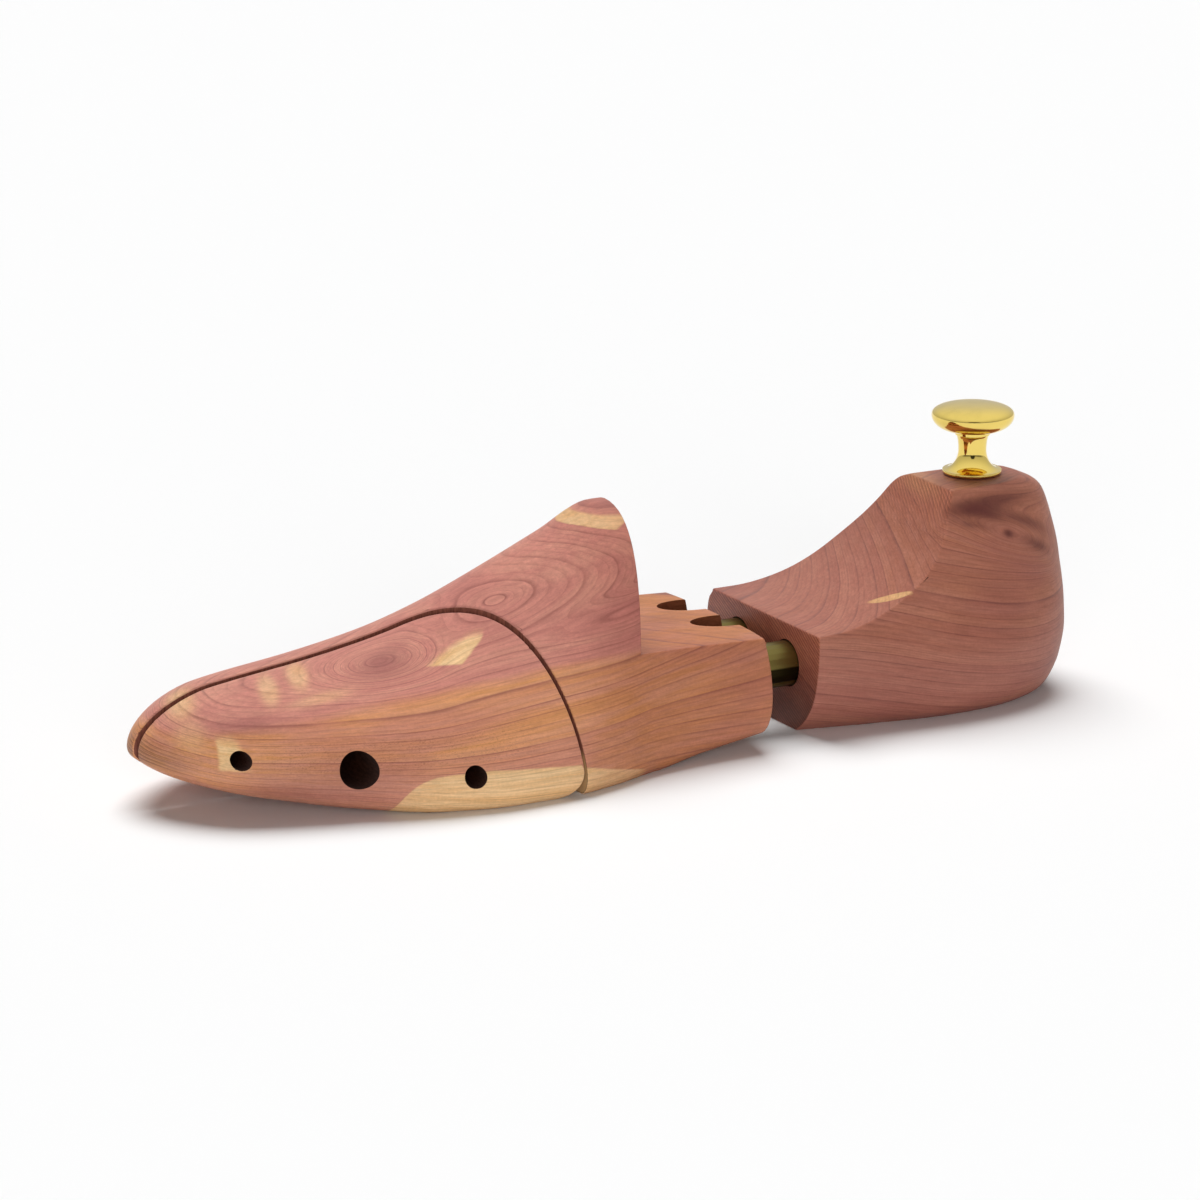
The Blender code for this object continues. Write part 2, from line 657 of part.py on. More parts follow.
def build_tube(side_name, side, forepart, heel, materials, heel_carrier):
    """A brass tube with its plug, spring and pins, and the holes that they need."""
    y = MID_Y + side * TUBE_SPACING / 2
    start_x = TAIL_X - TUBE_IN_FOREPART
    end_x = HEEL_X + TUBE_IN_HEEL
    inner_radius = TUBE_RADIUS - TUBE_WALL
    pin_radius = TUBE_PIN_DIAMETER / 2
    hole_radius = pin_radius + SEAT_GAP

    tube = add_rod(f"tube_{side_name}", (start_x, y, TUBE_HEIGHT), "+X", end_x - start_x, TUBE_RADIUS,
                   materials["tube"], bore_radius=inner_radius)
    bore_start = start_x - SEAT_GAP
    drill(forepart, f"tail_bore_{side_name}", (bore_start, y, TUBE_HEIGHT), "+X",
          TAIL_X + OVERRUN - bore_start, BORE_RADIUS)
    drill(heel, f"heel_bore_{side_name}", (HEEL_X - OVERRUN, y, TUBE_HEIGHT), "+X",
          HEEL_BORE_DEPTH + OVERRUN, BORE_RADIUS)

    # The plug sits in the tube near the forepart's rear end, and one pin holds both
    plug_end = TAIL_X - TUBE_PLUG_INSET
    plug_start = plug_end - TUBE_PLUG_LENGTH
    plug = add_rod(f"tube_plug_{side_name}", (plug_start, y, TUBE_HEIGHT), "+X", TUBE_PLUG_LENGTH,
                   inner_radius - SEAT_GAP, materials["plug"])
    pin_x = plug_start + TUBE_PLUG_LENGTH / 2
    pin_top = TUBE_HEIGHT + TUBE_PIN_REACH
    add_rod(f"tube_pin_{side_name}", (pin_x, y, PIN_RECESS), "+Z", pin_top - PIN_RECESS, pin_radius,
            materials["steel"])
    for target, name in ((forepart, "wood"), (tube, "tube"), (plug, "plug")):
        drill(target, f"{name}_pin_hole_{side_name}", (pin_x, y, -OVERRUN), "+Z",
              pin_top + SEAT_GAP + OVERRUN, hole_radius)

    # The heel's pin rides in a slot along the tube's underside
    slot_end = HEEL_X + HEEL_PIN_INSET + hole_radius
    slot_start = slot_end - HEEL_TRAVEL - 2 * hole_radius
    heel_pin_top = TUBE_HEIGHT - TUBE_SPRING_DIAMETER / 2 - SEAT_GAP
    add_rod(f"heel_pin_{side_name}", (HEEL_X + HEEL_PIN_INSET, y, PIN_RECESS), "+Z",
            heel_pin_top - PIN_RECESS, pin_radius, materials["steel"], heel_carrier)
    drill(heel, f"heel_pin_hole_{side_name}", (HEEL_X + HEEL_PIN_INSET, y, -OVERRUN), "+Z",
          TUBE_HEIGHT + OVERRUN, hole_radius)
    low_z = TUBE_HEIGHT - TUBE_RADIUS - OVERRUN
    slot_outline = [(slot_start, y - hole_radius, low_z), (slot_end, y - hole_radius, low_z),
                    (slot_end, y + hole_radius, low_z), (slot_start, y + hole_radius, low_z)]
    slot_name = f"tube_slot_{side_name}"
    slot_depth = OVERRUN + TUBE_RADIUS - TUBE_SPRING_DIAMETER / 2
    cut(tube, add_object(slot_name, prism_mesh(slot_name, slot_outline, (0, 0, slot_depth)), None))

    # The spring pushes from the plug to the end of the heel's bore
    spring_start = plug_end + SEAT_GAP
    spring_end = HEEL_X + HEEL_BORE_DEPTH - SEAT_GAP
    spring_object(f"tube_spring_{side_name}", (spring_start, y, TUBE_HEIGHT), "+X",
                  spring_end - spring_start, TUBE_SPRING_DIAMETER, TUBE_SPRING_WIRE,
                  TUBE_SPRING_CURLS, materials["steel"])


def build_dowel(place_name, place, height, depth, reach, forepart, block, materials, carrier):
    """A guide dowel fast in the forepart, with the side block sliding on it."""
    x = TOE_X + place
    seam_y = MID_Y + SEAM_BEND_OFFSET
    far_y = seam_y + depth
    near_y = seam_y - reach
    radius = DOWEL_DIAMETER / 2
    hole_radius = radius + RUNNING_GAP
    stop_radius = STOP_PIN_DIAMETER / 2
    brad_radius = BRAD_DIAMETER / 2

    dowel = add_rod(f"dowel_{place_name}", (x, far_y, height), "-Y", far_y - near_y, radius,
                    materials["steel"])
    drill(forepart, f"dowel_seat_{place_name}", (x, far_y + SEAT_GAP, height), "-Y",
          depth + SEAT_GAP + OVERRUN, hole_radius)
    drill(block, f"dowel_hole_{place_name}", (x, seam_y + OVERRUN, height), "-Y",
          2 * OUTER_REACH, hole_radius)

    # The stop pin of the side block rides in a groove under the dowel
    groove_near = near_y + DOWEL_END_LAND
    stop_y = groove_near + SIDE_TRAVEL_OUT + stop_radius + RUNNING_GAP
    groove_far = stop_y + SIDE_TRAVEL_IN + stop_radius + RUNNING_GAP
    groove_top = height - radius + DOWEL_GROOVE_DEPTH
    low_z = height - radius - OVERRUN
    half = radius + OVERRUN
    groove_outline = [(x - half, groove_near, low_z), (x + half, groove_near, low_z),
                      (x + half, groove_far, low_z), (x - half, groove_far, low_z)]
    groove_name = f"dowel_groove_{place_name}"
    groove = prism_mesh(groove_name, groove_outline, (0, 0, groove_top - low_z))
    cut(dowel, add_object(groove_name, groove, None))
    stop_top = groove_top - SEAT_GAP
    stop_start = forepart_bottom(place / FOREPART_LENGTH) + BRAD_RECESS
    add_rod(f"dowel_stop_{place_name}", (x, stop_y, stop_start), "+Z", stop_top - stop_start,
            stop_radius, materials["steel"], carrier)
    drill(block, f"dowel_stop_hole_{place_name}", (x, stop_y, -OVERRUN), "+Z", height + OVERRUN,
          stop_radius + SEAT_GAP)

    # The brad that fastens the dowel in the forepart
    brad_y = seam_y + depth * BRAD_PLACE_SHARE
    brad_top = height - radius + BRAD_BITE
    add_rod(f"dowel_brad_{place_name}", (x, brad_y, stop_start), "+Z", brad_top - stop_start,
            brad_radius, materials["steel"])
    for target, name in ((forepart, "seat"), (dowel, "dowel")):
        drill(target, f"{name}_brad_hole_{place_name}", (x, brad_y, -OVERRUN), "+Z",
              brad_top + SEAT_GAP + OVERRUN, brad_radius + SEAT_GAP)


def forepart_bottom(share):
    """Height of the underside at a share of the forepart's length."""
    return NOSE_HEIGHT * (1 - (1 - bottom_share(share)) * nose_share(share * FOREPART_LENGTH))


def build_toe_spring(forepart, block, materials, carrier):
    """The spring between the two halves of the toe, and the plug behind it."""
    x = TOE_X + TOE_HOLE_PLACE
    seam_y = MID_Y + SEAM_BEND_OFFSET
    hole_radius = TOE_HOLE_DIAMETER / 2
    socket_y = seam_y + TOE_SOCKET_DEPTH
    plug_face = seam_y - TOE_PLUG_REACH
    drill(forepart, "toe_spring_socket", (x, socket_y, TOE_HOLE_HEIGHT), "-Y",
          TOE_SOCKET_DEPTH + OVERRUN, hole_radius)
    drill(block, "toe_spring_hole", (x, seam_y + OVERRUN, TOE_HOLE_HEIGHT), "-Y", 2 * OUTER_REACH,
          hole_radius)
    add_rod("toe_spring_plug", (x, plug_face, TOE_HOLE_HEIGHT), "-Y", TOE_PLUG_LENGTH,
            hole_radius - SEAT_GAP, materials["plug"], carrier)
    spring_object("toe_spring", (x, socket_y - SEAT_GAP, TOE_HOLE_HEIGHT), "-Y",
                  socket_y - plug_face - 2 * SEAT_GAP, TOE_SPRING_DIAMETER, TOE_SPRING_WIRE,
                  TOE_SPRING_CURLS, materials["steel"])


def knob_profile():
    """The knob's outline from the axis at its top, round the cap and neck, to the foot."""
    cap = KNOB_CAP_DIAMETER / 2
    collar = KNOB_COLLAR_DIAMETER / 2
    neck = KNOB_NECK_DIAMETER / 2
    flange = KNOB_FLANGE_DIAMETER / 2
    crown = KNOB_HEIGHT - KNOB_CAP_LEVEL
    belly = KNOB_CAP_LEVEL - KNOB_CAP_UNDERSIDE
    profile = []
    steps = QUARTER_STEPS // 2
    for i in range(steps + 1):
        angle = math.pi / 2 * i / steps
        profile.append((cap * math.sin(angle), KNOB_CAP_LEVEL + crown * math.cos(angle)))
    for i in range(1, steps + 1):
        angle = math.pi / 2 * i / steps
        radius = collar + (cap - collar) * math.cos(angle)
        profile.append((radius, KNOB_CAP_LEVEL - belly * math.sin(angle)))
    profile.append((collar, KNOB_COLLAR_LEVEL))
    for i in range(1, steps + 1):
        angle = math.pi / 2 * i / steps
        radius = neck + (collar - neck) * (1 - math.sin(angle))
        height = KNOB_NECK_LEVEL + (KNOB_COLLAR_LEVEL - KNOB_NECK_LEVEL) * math.cos(angle)
        profile.append((radius, height))
    drop = KNOB_NECK_LEVEL - KNOB_FLANGE_THICKNESS
    for i in range(1, steps + 1):
        angle = math.pi / 2 * i / steps
        radius = neck + (flange - neck) * (1 - math.cos(angle))
        profile.append((radius, KNOB_NECK_LEVEL - drop * math.sin(angle)))
    profile.append((flange, 0))
    profile.append((0, 0))
    return profile


def build_knob(heel, materials, carrier):
    x = HEEL_X + KNOB_PLACE
    seat_z = HEEL_HEIGHT + SEAT_GAP
    radius = STUD_DIAMETER / 2
    data = turned_mesh("knob", knob_profile(), KNOB_STEPS)
    shade_round(data, 50)
    knob = add_object("knob", data, materials["brass"], (x, MID_Y, seat_z), carrier)
    drill(knob, "knob_stud_hole", (x, MID_Y, seat_z - OVERRUN), "+Z",
          STUD_IN_KNOB + SEAT_GAP + OVERRUN, radius + SEAT_GAP)
    stud_start = HEEL_HEIGHT - STUD_IN_HEEL
    add_rod("knob_stud", (x, MID_Y, stud_start), "+Z", seat_z + STUD_IN_KNOB - stud_start, radius,
            materials["steel"], carrier)
    drill(heel, "heel_stud_hole", (x, MID_Y, stud_start - SEAT_GAP), "+Z",
          STUD_IN_HEEL + SEAT_GAP + OVERRUN, radius + SEAT_GAP)


def build_tree():
    clear_scene()
    materials = {
        "cedar": make_material("cedar", CEDAR, 0.55, 0.0),
        "plug": make_material("plug_wood", PLUG_WOOD, 0.6, 0.0),
        "brass": make_material("polished_brass", BRASS, 0.12, 1.0),
        "tube": make_material("tube_brass", DULL_BRASS, 0.3, 1.0),
        "steel": make_material("steel", STEEL, 0.35, 1.0),
    }
    heel_carrier = add_carrier("heel_slide_axis", (HEEL_X, MID_Y, TUBE_HEIGHT))
    side_carrier = add_carrier("side_slide_axis", (TOE_X + TOE_HOLE_PLACE, MID_Y, TOE_HOLE_HEIGHT))
    forepart = build_forepart(materials)
    block = build_side_block(materials, side_carrier)
    heel = build_heel(materials, heel_carrier)
    for side_name, side in (("outer", -1), ("inner", 1)):
        build_tube(side_name, side, forepart, heel, materials, heel_carrier)
    build_dowel("front", DOWEL_FRONT_PLACE, DOWEL_FRONT_HEIGHT, DOWEL_FRONT_DEPTH, DOWEL_FRONT_REACH,
                forepart, block, materials, side_carrier)
    build_dowel("rear", DOWEL_REAR_PLACE, DOWEL_REAR_HEIGHT, DOWEL_REAR_DEPTH, DOWEL_REAR_REACH,
                forepart, block, materials, side_carrier)
    build_toe_spring(forepart, block, materials, side_carrier)
    build_knob(heel, materials, heel_carrier)


build_tree()
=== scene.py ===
# The looks of the cedar shoe tree: fine wood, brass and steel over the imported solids.
# Units are metres, and lengths in the wood's own pattern are millimetres.

import math

import bmesh
import bpy
import numpy as np
from mathutils import Matrix, Vector


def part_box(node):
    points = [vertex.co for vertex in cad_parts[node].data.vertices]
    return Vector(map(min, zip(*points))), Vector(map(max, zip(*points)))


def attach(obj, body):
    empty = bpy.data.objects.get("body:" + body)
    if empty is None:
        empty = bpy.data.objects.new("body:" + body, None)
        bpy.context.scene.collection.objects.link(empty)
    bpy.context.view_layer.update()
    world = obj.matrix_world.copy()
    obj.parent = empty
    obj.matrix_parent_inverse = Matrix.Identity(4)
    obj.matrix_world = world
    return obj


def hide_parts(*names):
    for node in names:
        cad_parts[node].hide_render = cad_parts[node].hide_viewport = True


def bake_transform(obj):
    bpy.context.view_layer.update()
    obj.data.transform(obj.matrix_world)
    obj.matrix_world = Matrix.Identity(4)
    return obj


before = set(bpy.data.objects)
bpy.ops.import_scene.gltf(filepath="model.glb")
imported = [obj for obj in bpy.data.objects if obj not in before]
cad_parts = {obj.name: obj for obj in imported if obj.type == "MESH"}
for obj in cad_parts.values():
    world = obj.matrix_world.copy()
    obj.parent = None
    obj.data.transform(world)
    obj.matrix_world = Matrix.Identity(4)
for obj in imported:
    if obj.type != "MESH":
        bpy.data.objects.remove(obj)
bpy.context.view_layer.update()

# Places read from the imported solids
heel_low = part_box("heel_block")[0]
outer_tube_low, outer_tube_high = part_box("tube_outer")
inner_tube_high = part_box("tube_inner")[1]
knob_low, knob_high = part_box("knob")
stud_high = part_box("knob_stud")[1]
HEEL_X = heel_low.x
MID_Y = (outer_tube_low.y + inner_tube_high.y) / 2
TUBE_HEIGHT = (outer_tube_low.z + outer_tube_high.z) / 2

# Overall sizes, as in the part's source
FOREPART_LENGTH = 0.1748
HEEL_LENGTH = 0.0922
OUTER_REACH = 0.0445
INNER_REACH = 0.0385
GAP_LENGTH = 0.0125
TAIL_X = HEEL_X - GAP_LENGTH
TOE_X = TAIL_X - FOREPART_LENGTH
SEAT_GAP = 0.0003
RUNNING_GAP = 0.0003
OVERRUN = 0.004

# Forepart
INSTEP_HEIGHT = 0.0673
NOSE_HEIGHT = 0.016
NOSE_LENGTH = 0.022
TOE_SKEW = 0.004
CREST_OFFSET = 0.004
SIDE_HEIGHT = 0.018
EDGE_REACH = 0.011
LEDGE_LENGTH = 0.0424
LEDGE_REAR_HEIGHT = 0.0303
LEDGE_RISE = 0.0018
INSTEP_LEAN = 0.0058
TAIL_BOW = 0.005
TAIL_BOW_POWER = 2.4
TAIL_HALF_WIDTH = 0.034
TAIL_BULGE = 0.0022
TAIL_UNDERCUT = 0.0042
TAIL_BULGE_HEIGHT = 0.0165
NOTCH_WIDTH = 0.0112
NOTCH_LENGTH = 0.0137
NOTCH_ROUND_LENGTH = 0.0100
NOTCH_SPACING = 0.0184
NOTCH_OFFSET = 0.0026
NOTCH_DEPTH = 0.0046

# Seam between forepart and side block
SAW_KERF = 0.0015
SAW_END_KERF = 0.0008
SIDE_OPENING = 0.0009
SIDE_CORNER_RADIUS = 0.0078
SEAM_TOE_OFFSET = 0.003
SEAM_BEND_OFFSET = 0.0015
SEAM_BEND_START = 0.0755
SEAM_BEND_LENGTH = 0.0332

# Heel block
HEEL_HEIGHT = 0.0601
HEEL_HALF_WIDTH = 0.0333
HEEL_WAIST = 0.021
HEEL_WIDEST = 0.045
SCOOP_RADIUS = 0.0495
SCOOP_INSET = 0.006
SCOOP_HEIGHT = 0.0292

# Tubes, dowels, springs and their holes
TUBE_SPACING = 0.026
TUBE_DIAMETER = 0.0125
TUBE_IN_FOREPART = 0.040
HEEL_BORE_DEPTH = 0.048
TUBE_PLUG_LENGTH = 0.019
TUBE_PLUG_INSET = 0.0025
PIN_DIAMETER = 0.003
HEEL_PIN_INSET = 0.014
TUBE_SPRING_WIRE = 0.0012
TUBE_SPRING_DIAMETER = 0.0092
TUBE_SPRING_CURLS = 11
DOWEL_DIAMETER = 0.0054
DOWELS = {"front": (0.0189, 0.0175, 0.014), "rear": (0.0765, 0.0099, 0.020)}
TOE_HOLE_DIAMETER = 0.0112
TOE_HOLE_PLACE = 0.0473
TOE_HOLE_HEIGHT = 0.0136
TOE_SOCKET_DEPTH = 0.0145
MOUTHS = {"front": (0.0050, 0.019), "toe": (0.0099, 0.021)}
TOE_PLUG_REACH = 0.0085
TOE_SPRING_WIRE = 0.001
TOE_SPRING_DIAMETER = 0.0086
TOE_SPRING_CURLS = 6

# Knob, with heights above its seat. A fullness below 1 makes the cap rounder
KNOB_HEIGHT = 0.0197
KNOB_CAP_DIAMETER = 0.023
KNOB_CAP_LEVEL = 0.0164
KNOB_CAP_UNDERSIDE = 0.0120
KNOB_CAP_FULLNESS = 0.82
KNOB_COLLAR_DIAMETER = 0.0098
KNOB_COLLAR_LEVEL = 0.0110
KNOB_NECK_DIAMETER = 0.0078
KNOB_NECK_LEVEL = 0.0066
KNOB_FLANGE_DIAMETER = 0.0164
KNOB_FLANGE_THICKNESS = 0.001
STUD_DIAMETER = 0.004

# Fineness, the width of the softened edges, and angles in degrees
QUARTER_STEPS = 24
EDGE_STEPS = 8
SOLE_STEPS = 6
NOSE_RINGS = 14
BODY_RINGS = 96
HEEL_RINGS = 56
HEEL_SIDE_STEPS = 44
ROUND_SIDES = 64
KNOB_SIDES = 96
COIL_STEPS = 24
WIRE_SIDES = 10
SLIVER = 0.00018
WELD_DISTANCE = SEAT_GAP / 20
EDGE_SOFTNESS = 0.0004
EDGE_CUTS = 3
EDGE_ANGLE = 26
TANGLE_ANGLE = 120
TANGLE_CORNERS = 20
TANGLE_PULL = 0.15
WOOD_CREASE_ANGLE = 40
METAL_CREASE_ANGLE = 50

# Forepart sections: shares of the forepart's length, reaches and heights
STATION_SHARES = (0.0, 0.08, 0.16, 0.28, 0.40, 0.51, 0.61, 0.69, 0.77, 0.87, 1.0)
SECTIONS = {
    "outer": (0.38, 0.53, 0.64, 0.79, 0.935, 1.0, 0.985, 0.91, 0.80, 0.74, 0.715),
    "inner": (0.44, 0.60, 0.71, 0.81, 0.90, 0.965, 1.0, 0.985, 0.92, 0.85, 0.80),
    "crest": (0.42, 0.450, 0.482, 0.525, 0.585, 0.677, 0.797, 0.900, 1.0, 1.0, 0.95),
    "crest_offset": (0.0, 0.3, 0.6, 0.8, 0.9, 1.0, 0.7, 0.4, 0.1, 0.0, 0.0),
    "side_height": (0.85, 0.80, 0.75, 0.64, 0.53, 0.45, 0.45, 0.50, 0.55, 0.65, 0.70),
    "bottom": (0.55, 0.475, 0.31, 0.115, 0.01, 0.0, 0.0, 0.0, 0.0, 0.11, 0.275),
    "edge": (1.0, 1.0, 0.9, 0.60, 0.40, 0.32, 0.28, 0.26, 0.3, 0.45, 0.6),
    "lean": (0.0, 0.0, 0.0, 0.05, 0.12, 0.25, 0.33, 0.30, 0.25, 0.22, 0.20),
    "outer_rise": (0.55, 0.55, 0.55, 0.52, 0.46, 0.38, 0.33, 0.36, 0.40, 0.40, 0.40),
    "outer_crest": (0.55, 0.55, 0.55, 0.52, 0.44, 0.28, 0.24, 0.42, 0.68, 0.65, 0.60),
    "inner_rise": (0.50, 0.46, 0.44, 0.42, 0.42, 0.42, 0.40, 0.40, 0.40, 0.40, 0.40),
    "inner_crest": (0.48, 0.42, 0.40, 0.38, 0.38, 0.37, 0.34, 0.32, 0.34, 0.45, 0.55),
}
EDGE_DROP_SHARE = 0.6
SKEW_END_SHARE = 0.5
FIRST_RING_SHARE = 0.057

# Heel slices: shares of the heel's height, half width and length
SLICE_SHARES = (0.0, 0.04, 0.10, 0.18, 0.29, 0.43, 0.475, 0.52, 0.58, 0.68, 0.79, 0.87, 0.93, 0.97, 1.0)
SLICES = {
    "outer_front": (0.54, 0.64, 0.745, 0.83, 0.885, 0.91, 0.91, 0.86,
                    0.80, 0.74, 0.66, 0.56, 0.49, 0.45, 0.43),
    "inner_front": (0.54, 0.64, 0.745, 0.85, 0.93, 0.90, 0.835, 0.81,
                    0.77, 0.71, 0.63, 0.55, 0.49, 0.45, 0.43),
    "waist": (0.67, 0.78, 0.86, 0.905, 0.925, 0.88, 0.845, 0.805,
              0.76, 0.70, 0.63, 0.555, 0.485, 0.445, 0.43),
    "outer": (0.77, 0.885, 0.95, 0.985, 0.985, 0.925, 0.89, 0.855,
              0.81, 0.74, 0.635, 0.54, 0.48, 0.45, 0.43),
    "inner": (0.77, 0.885, 0.95, 0.985, 0.985, 0.925, 0.88, 0.84,
              0.785, 0.71, 0.60, 0.52, 0.46, 0.38, 0.24),
    "length": (0.90, 0.932, 0.956, 0.977, 0.994, 0.999, 1.0, 0.999,
               0.996, 0.987, 0.972, 0.957, 0.939, 0.909, 0.86),
    "round_power": (2.4, 2.4, 2.4, 2.4, 2.4, 2.4, 2.4, 2.4, 2.4, 2.5, 2.6, 2.8, 3.0, 3.2, 3.4),
}


# Meshes

def link(name, data):
    piece = bpy.data.objects.new(name, data)
    bpy.context.scene.collection.objects.link(piece)
    return piece


def mesh_from(name, build):
    data = bpy.data.meshes.new(name)
    shape = bmesh.new()
    build(shape)
    bmesh.ops.recalc_face_normals(shape, faces=shape.faces)
    shape.to_mesh(data)
    shape.free()
    return data


def join_loops(shape, loops):
    """Faces between neighbouring loops of as many points."""
    count = len(loops[0])
    for lower, upper in zip(loops, loops[1:]):
        for i in range(count):
            j = (i + 1) % count
            shape.faces.new((lower[i], lower[j], upper[j], upper[i]))


def close_ends(shape, loops):
    shape.faces.new(loops[0])
    shape.faces.new(loops[-1])


def loft(name, rings):
    """A piece with one closed skin over a list of rings, each a closed loop of as many points."""
    def build(shape):
        loops = [[shape.verts.new(point) for point in ring] for ring in rings]
        join_loops(shape, loops)
        bmesh.ops.triangulate(shape, faces=shape.faces[:])
        close_ends(shape, loops)
    return link(name, mesh_from(name, build))


def prism(name, outline, vector):
    """A piece made by pushing an outline of points along a vector."""
    def build(shape):
        face = shape.faces.new([shape.verts.new(point) for point in outline])
        grown = bmesh.ops.extrude_face_region(shape, geom=[face])
        moved = [item for item in grown["geom"] if isinstance(item, bmesh.types.BMVert)]
        bmesh.ops.translate(shape, verts=moved, vec=Vector(vector))
    return link(name, mesh_from(name, build))


def turned_mesh(name, profile, sides):
    """A profile of (radius, height) points, from the axis round to the axis, spun about Z."""
    def build(shape):
        points = [shape.verts.new((radius, 0, height)) for radius, height in profile]
        edges = [shape.edges.new(pair) for pair in zip(points, points[1:])]
        bmesh.ops.spin(shape, geom=points + edges, cent=(0, 0, 0), axis=(0, 0, 1),
                       angle=math.tau, steps=sides)
        bmesh.ops.remove_doubles(shape, verts=shape.verts, dist=WELD_DISTANCE)
    return mesh_from(name, build)


AXIS_TURNS = {
    "+X": Matrix.Rotation(math.pi / 2, 4, "Y"),
    "-Y": Matrix.Rotation(math.pi / 2, 4, "X"),
    "+Z": Matrix.Identity(4),
}


def rod_cutter(name, start, axis, length, radius):
    data = turned_mesh(name, [(0, 0), (radius, 0), (radius, length), (0, length)], ROUND_SIDES)
    data.transform(AXIS_TURNS[axis])
    data.transform(Matrix.Translation(start))
    return link(name, data)


def across_cutter(name, profile, outer_reach=OUTER_REACH, inner_reach=INNER_REACH):
    """A cutter with an (x, z) profile that runs across the whole width."""
    outline = [(x, MID_Y - outer_reach - OVERRUN, z) for x, z in profile]
    return prism(name, outline, (0, outer_reach + inner_reach + 2 * OVERRUN, 0))


def soften(data, angle):
    """Shades a mesh smooth, apart from its edges sharper than an angle."""
    data.shade_smooth()
    data.set_sharp_from_angle(angle=math.radians(angle))


def arc(steps, whole=math.pi / 2):
    """Angles from 0 to a whole, in equal steps."""
    return [whole * i / steps for i in range(steps + 1)]


def eased(places, values):
    """A smooth function through values that never swings past them."""
    places = np.array(places, float)
    values = np.array(values, float)
    steps = np.diff(places)
    slopes = np.diff(values) / steps
    tangents = np.zeros(len(values))
    tangents[0] = slopes[0]
    tangents[-1] = slopes[-1]
    for i in range(1, len(values) - 1):
        before, after = slopes[i - 1], slopes[i]
        if before * after > 0:
            near_weight = 2 * steps[i] + steps[i - 1]
            far_weight = steps[i] + 2 * steps[i - 1]
            tangents[i] = (near_weight + far_weight) / (near_weight / before + far_weight / after)

    def value_at(place):
        i = int(np.clip(np.searchsorted(places, place) - 1, 0, len(steps) - 1))
        step = steps[i]
        t = (place - places[i]) / step
        start_share = 2 * t ** 3 - 3 * t ** 2 + 1
        end_share = 3 * t ** 2 - 2 * t ** 3
        start_pull = (t ** 3 - 2 * t ** 2 + t) * step
        end_pull = (t ** 3 - t ** 2) * step
        return float(start_share * values[i] + end_share * values[i + 1]
                     + start_pull * tangents[i] + end_pull * tangents[i + 1])

    return value_at


def bezier(start, start_handle, end_handle, end, steps):
    """Points of a Bezier curve without its last point."""
    points = []
    for i in range(steps):
        t = i / steps
        u = 1 - t
        points.append(tuple(u ** 3 * a + 3 * u * u * t * b + 3 * u * t * t * c + t ** 3 * d
                            for a, b, c, d in zip(start, start_handle, end_handle, end)))
    return points


# Forepart surface

section_curves = {name: eased(STATION_SHARES, values) for name, values in SECTIONS.items()}


def centre_line(share):
    """The forepart's middle in plan, which swings inward at the toe."""
    left_share = max(0.0, 1 - share / SKEW_END_SHARE)
    return MID_Y + TOE_SKEW * left_share


def nose_share(distance):
    """How far a section has opened at a distance behind the toe's tip."""
    left_share = max(0.0, 1 - distance / NOSE_LENGTH)
    return math.sqrt(1 - left_share ** 2)


def forepart_ring(share):
    """The section across the forepart at a share of its length, as (x, y, z) points."""
    at = {name: curve(share) for name, curve in section_curves.items()}
    distance = share * FOREPART_LENGTH
    opened = nose_share(distance)
    middle = centre_line(share)
    outer_y = middle - (OUTER_REACH + middle - MID_Y) * at["outer"] * opened
    inner_y = middle + (INNER_REACH - middle + MID_Y) * at["inner"] * opened
    crest_y = middle + CREST_OFFSET * at["crest_offset"] * opened
    crest_z = NOSE_HEIGHT + (INSTEP_HEIGHT * at["crest"] - NOSE_HEIGHT) * opened
    bottom_z = NOSE_HEIGHT * (1 - (1 - at["bottom"]) * opened)
    side_z = NOSE_HEIGHT + (SIDE_HEIGHT * at["side_height"] - NOSE_HEIGHT) * opened
    edge = EDGE_REACH * at["edge"] * opened
    rise = crest_z - side_z
    drop = (side_z - bottom_z) * EDGE_DROP_SHARE
    inset = edge * (1 - EDGE_DROP_SHARE)
    lean = at["lean"]
    outer_rise = rise * at["outer_rise"]
    inner_rise = rise * at["inner_rise"]
    outer_run = (crest_y - outer_y) * at["outer_crest"]
    inner_run = (inner_y - crest_y) * at["inner_crest"]
    points = bezier((outer_y, side_z), (outer_y + lean * outer_rise, side_z + outer_rise),
                    (crest_y - outer_run, crest_z), (crest_y, crest_z), QUARTER_STEPS)
    points += bezier((crest_y, crest_z), (crest_y + inner_run, crest_z),
                     (inner_y - lean * inner_rise, side_z + inner_rise), (inner_y, side_z), QUARTER_STEPS)
    points += bezier((inner_y, side_z), (inner_y + lean * drop, side_z - drop),
                     (inner_y - inset, bottom_z), (inner_y - edge, bottom_z), EDGE_STEPS)
    for i in range(SOLE_STEPS):
        t = i / SOLE_STEPS
        points.append(((inner_y - edge) * (1 - t) + (outer_y + edge) * t, bottom_z))
    points += bezier((outer_y + edge, bottom_z), (outer_y + inset, bottom_z),
                     (outer_y - lean * drop, side_z - drop), (outer_y, side_z), EDGE_STEPS)
    return [(TOE_X + distance, y, z) for y, z in points]


def forepart_shares():
    """Shares of the length where rings stand, closer together round the nose."""
    shares = []
    for i in range(NOSE_RINGS):
        t = i / NOSE_RINGS
        angle = math.pi / 2 * (FIRST_RING_SHARE + (1 - FIRST_RING_SHARE) * t)
        shares.append(NOSE_LENGTH * (1 - math.cos(angle)) / FOREPART_LENGTH)
    start = NOSE_LENGTH / FOREPART_LENGTH
    for i in range(BODY_RINGS + 1):
        shares.append(start + (1 - start) * i / BODY_RINGS)
    return shares


def whole_forepart(name):
    """The forepart as it is turned, before it is sawn and cut."""
    return loft(name, [forepart_ring(share) for share in forepart_shares()])


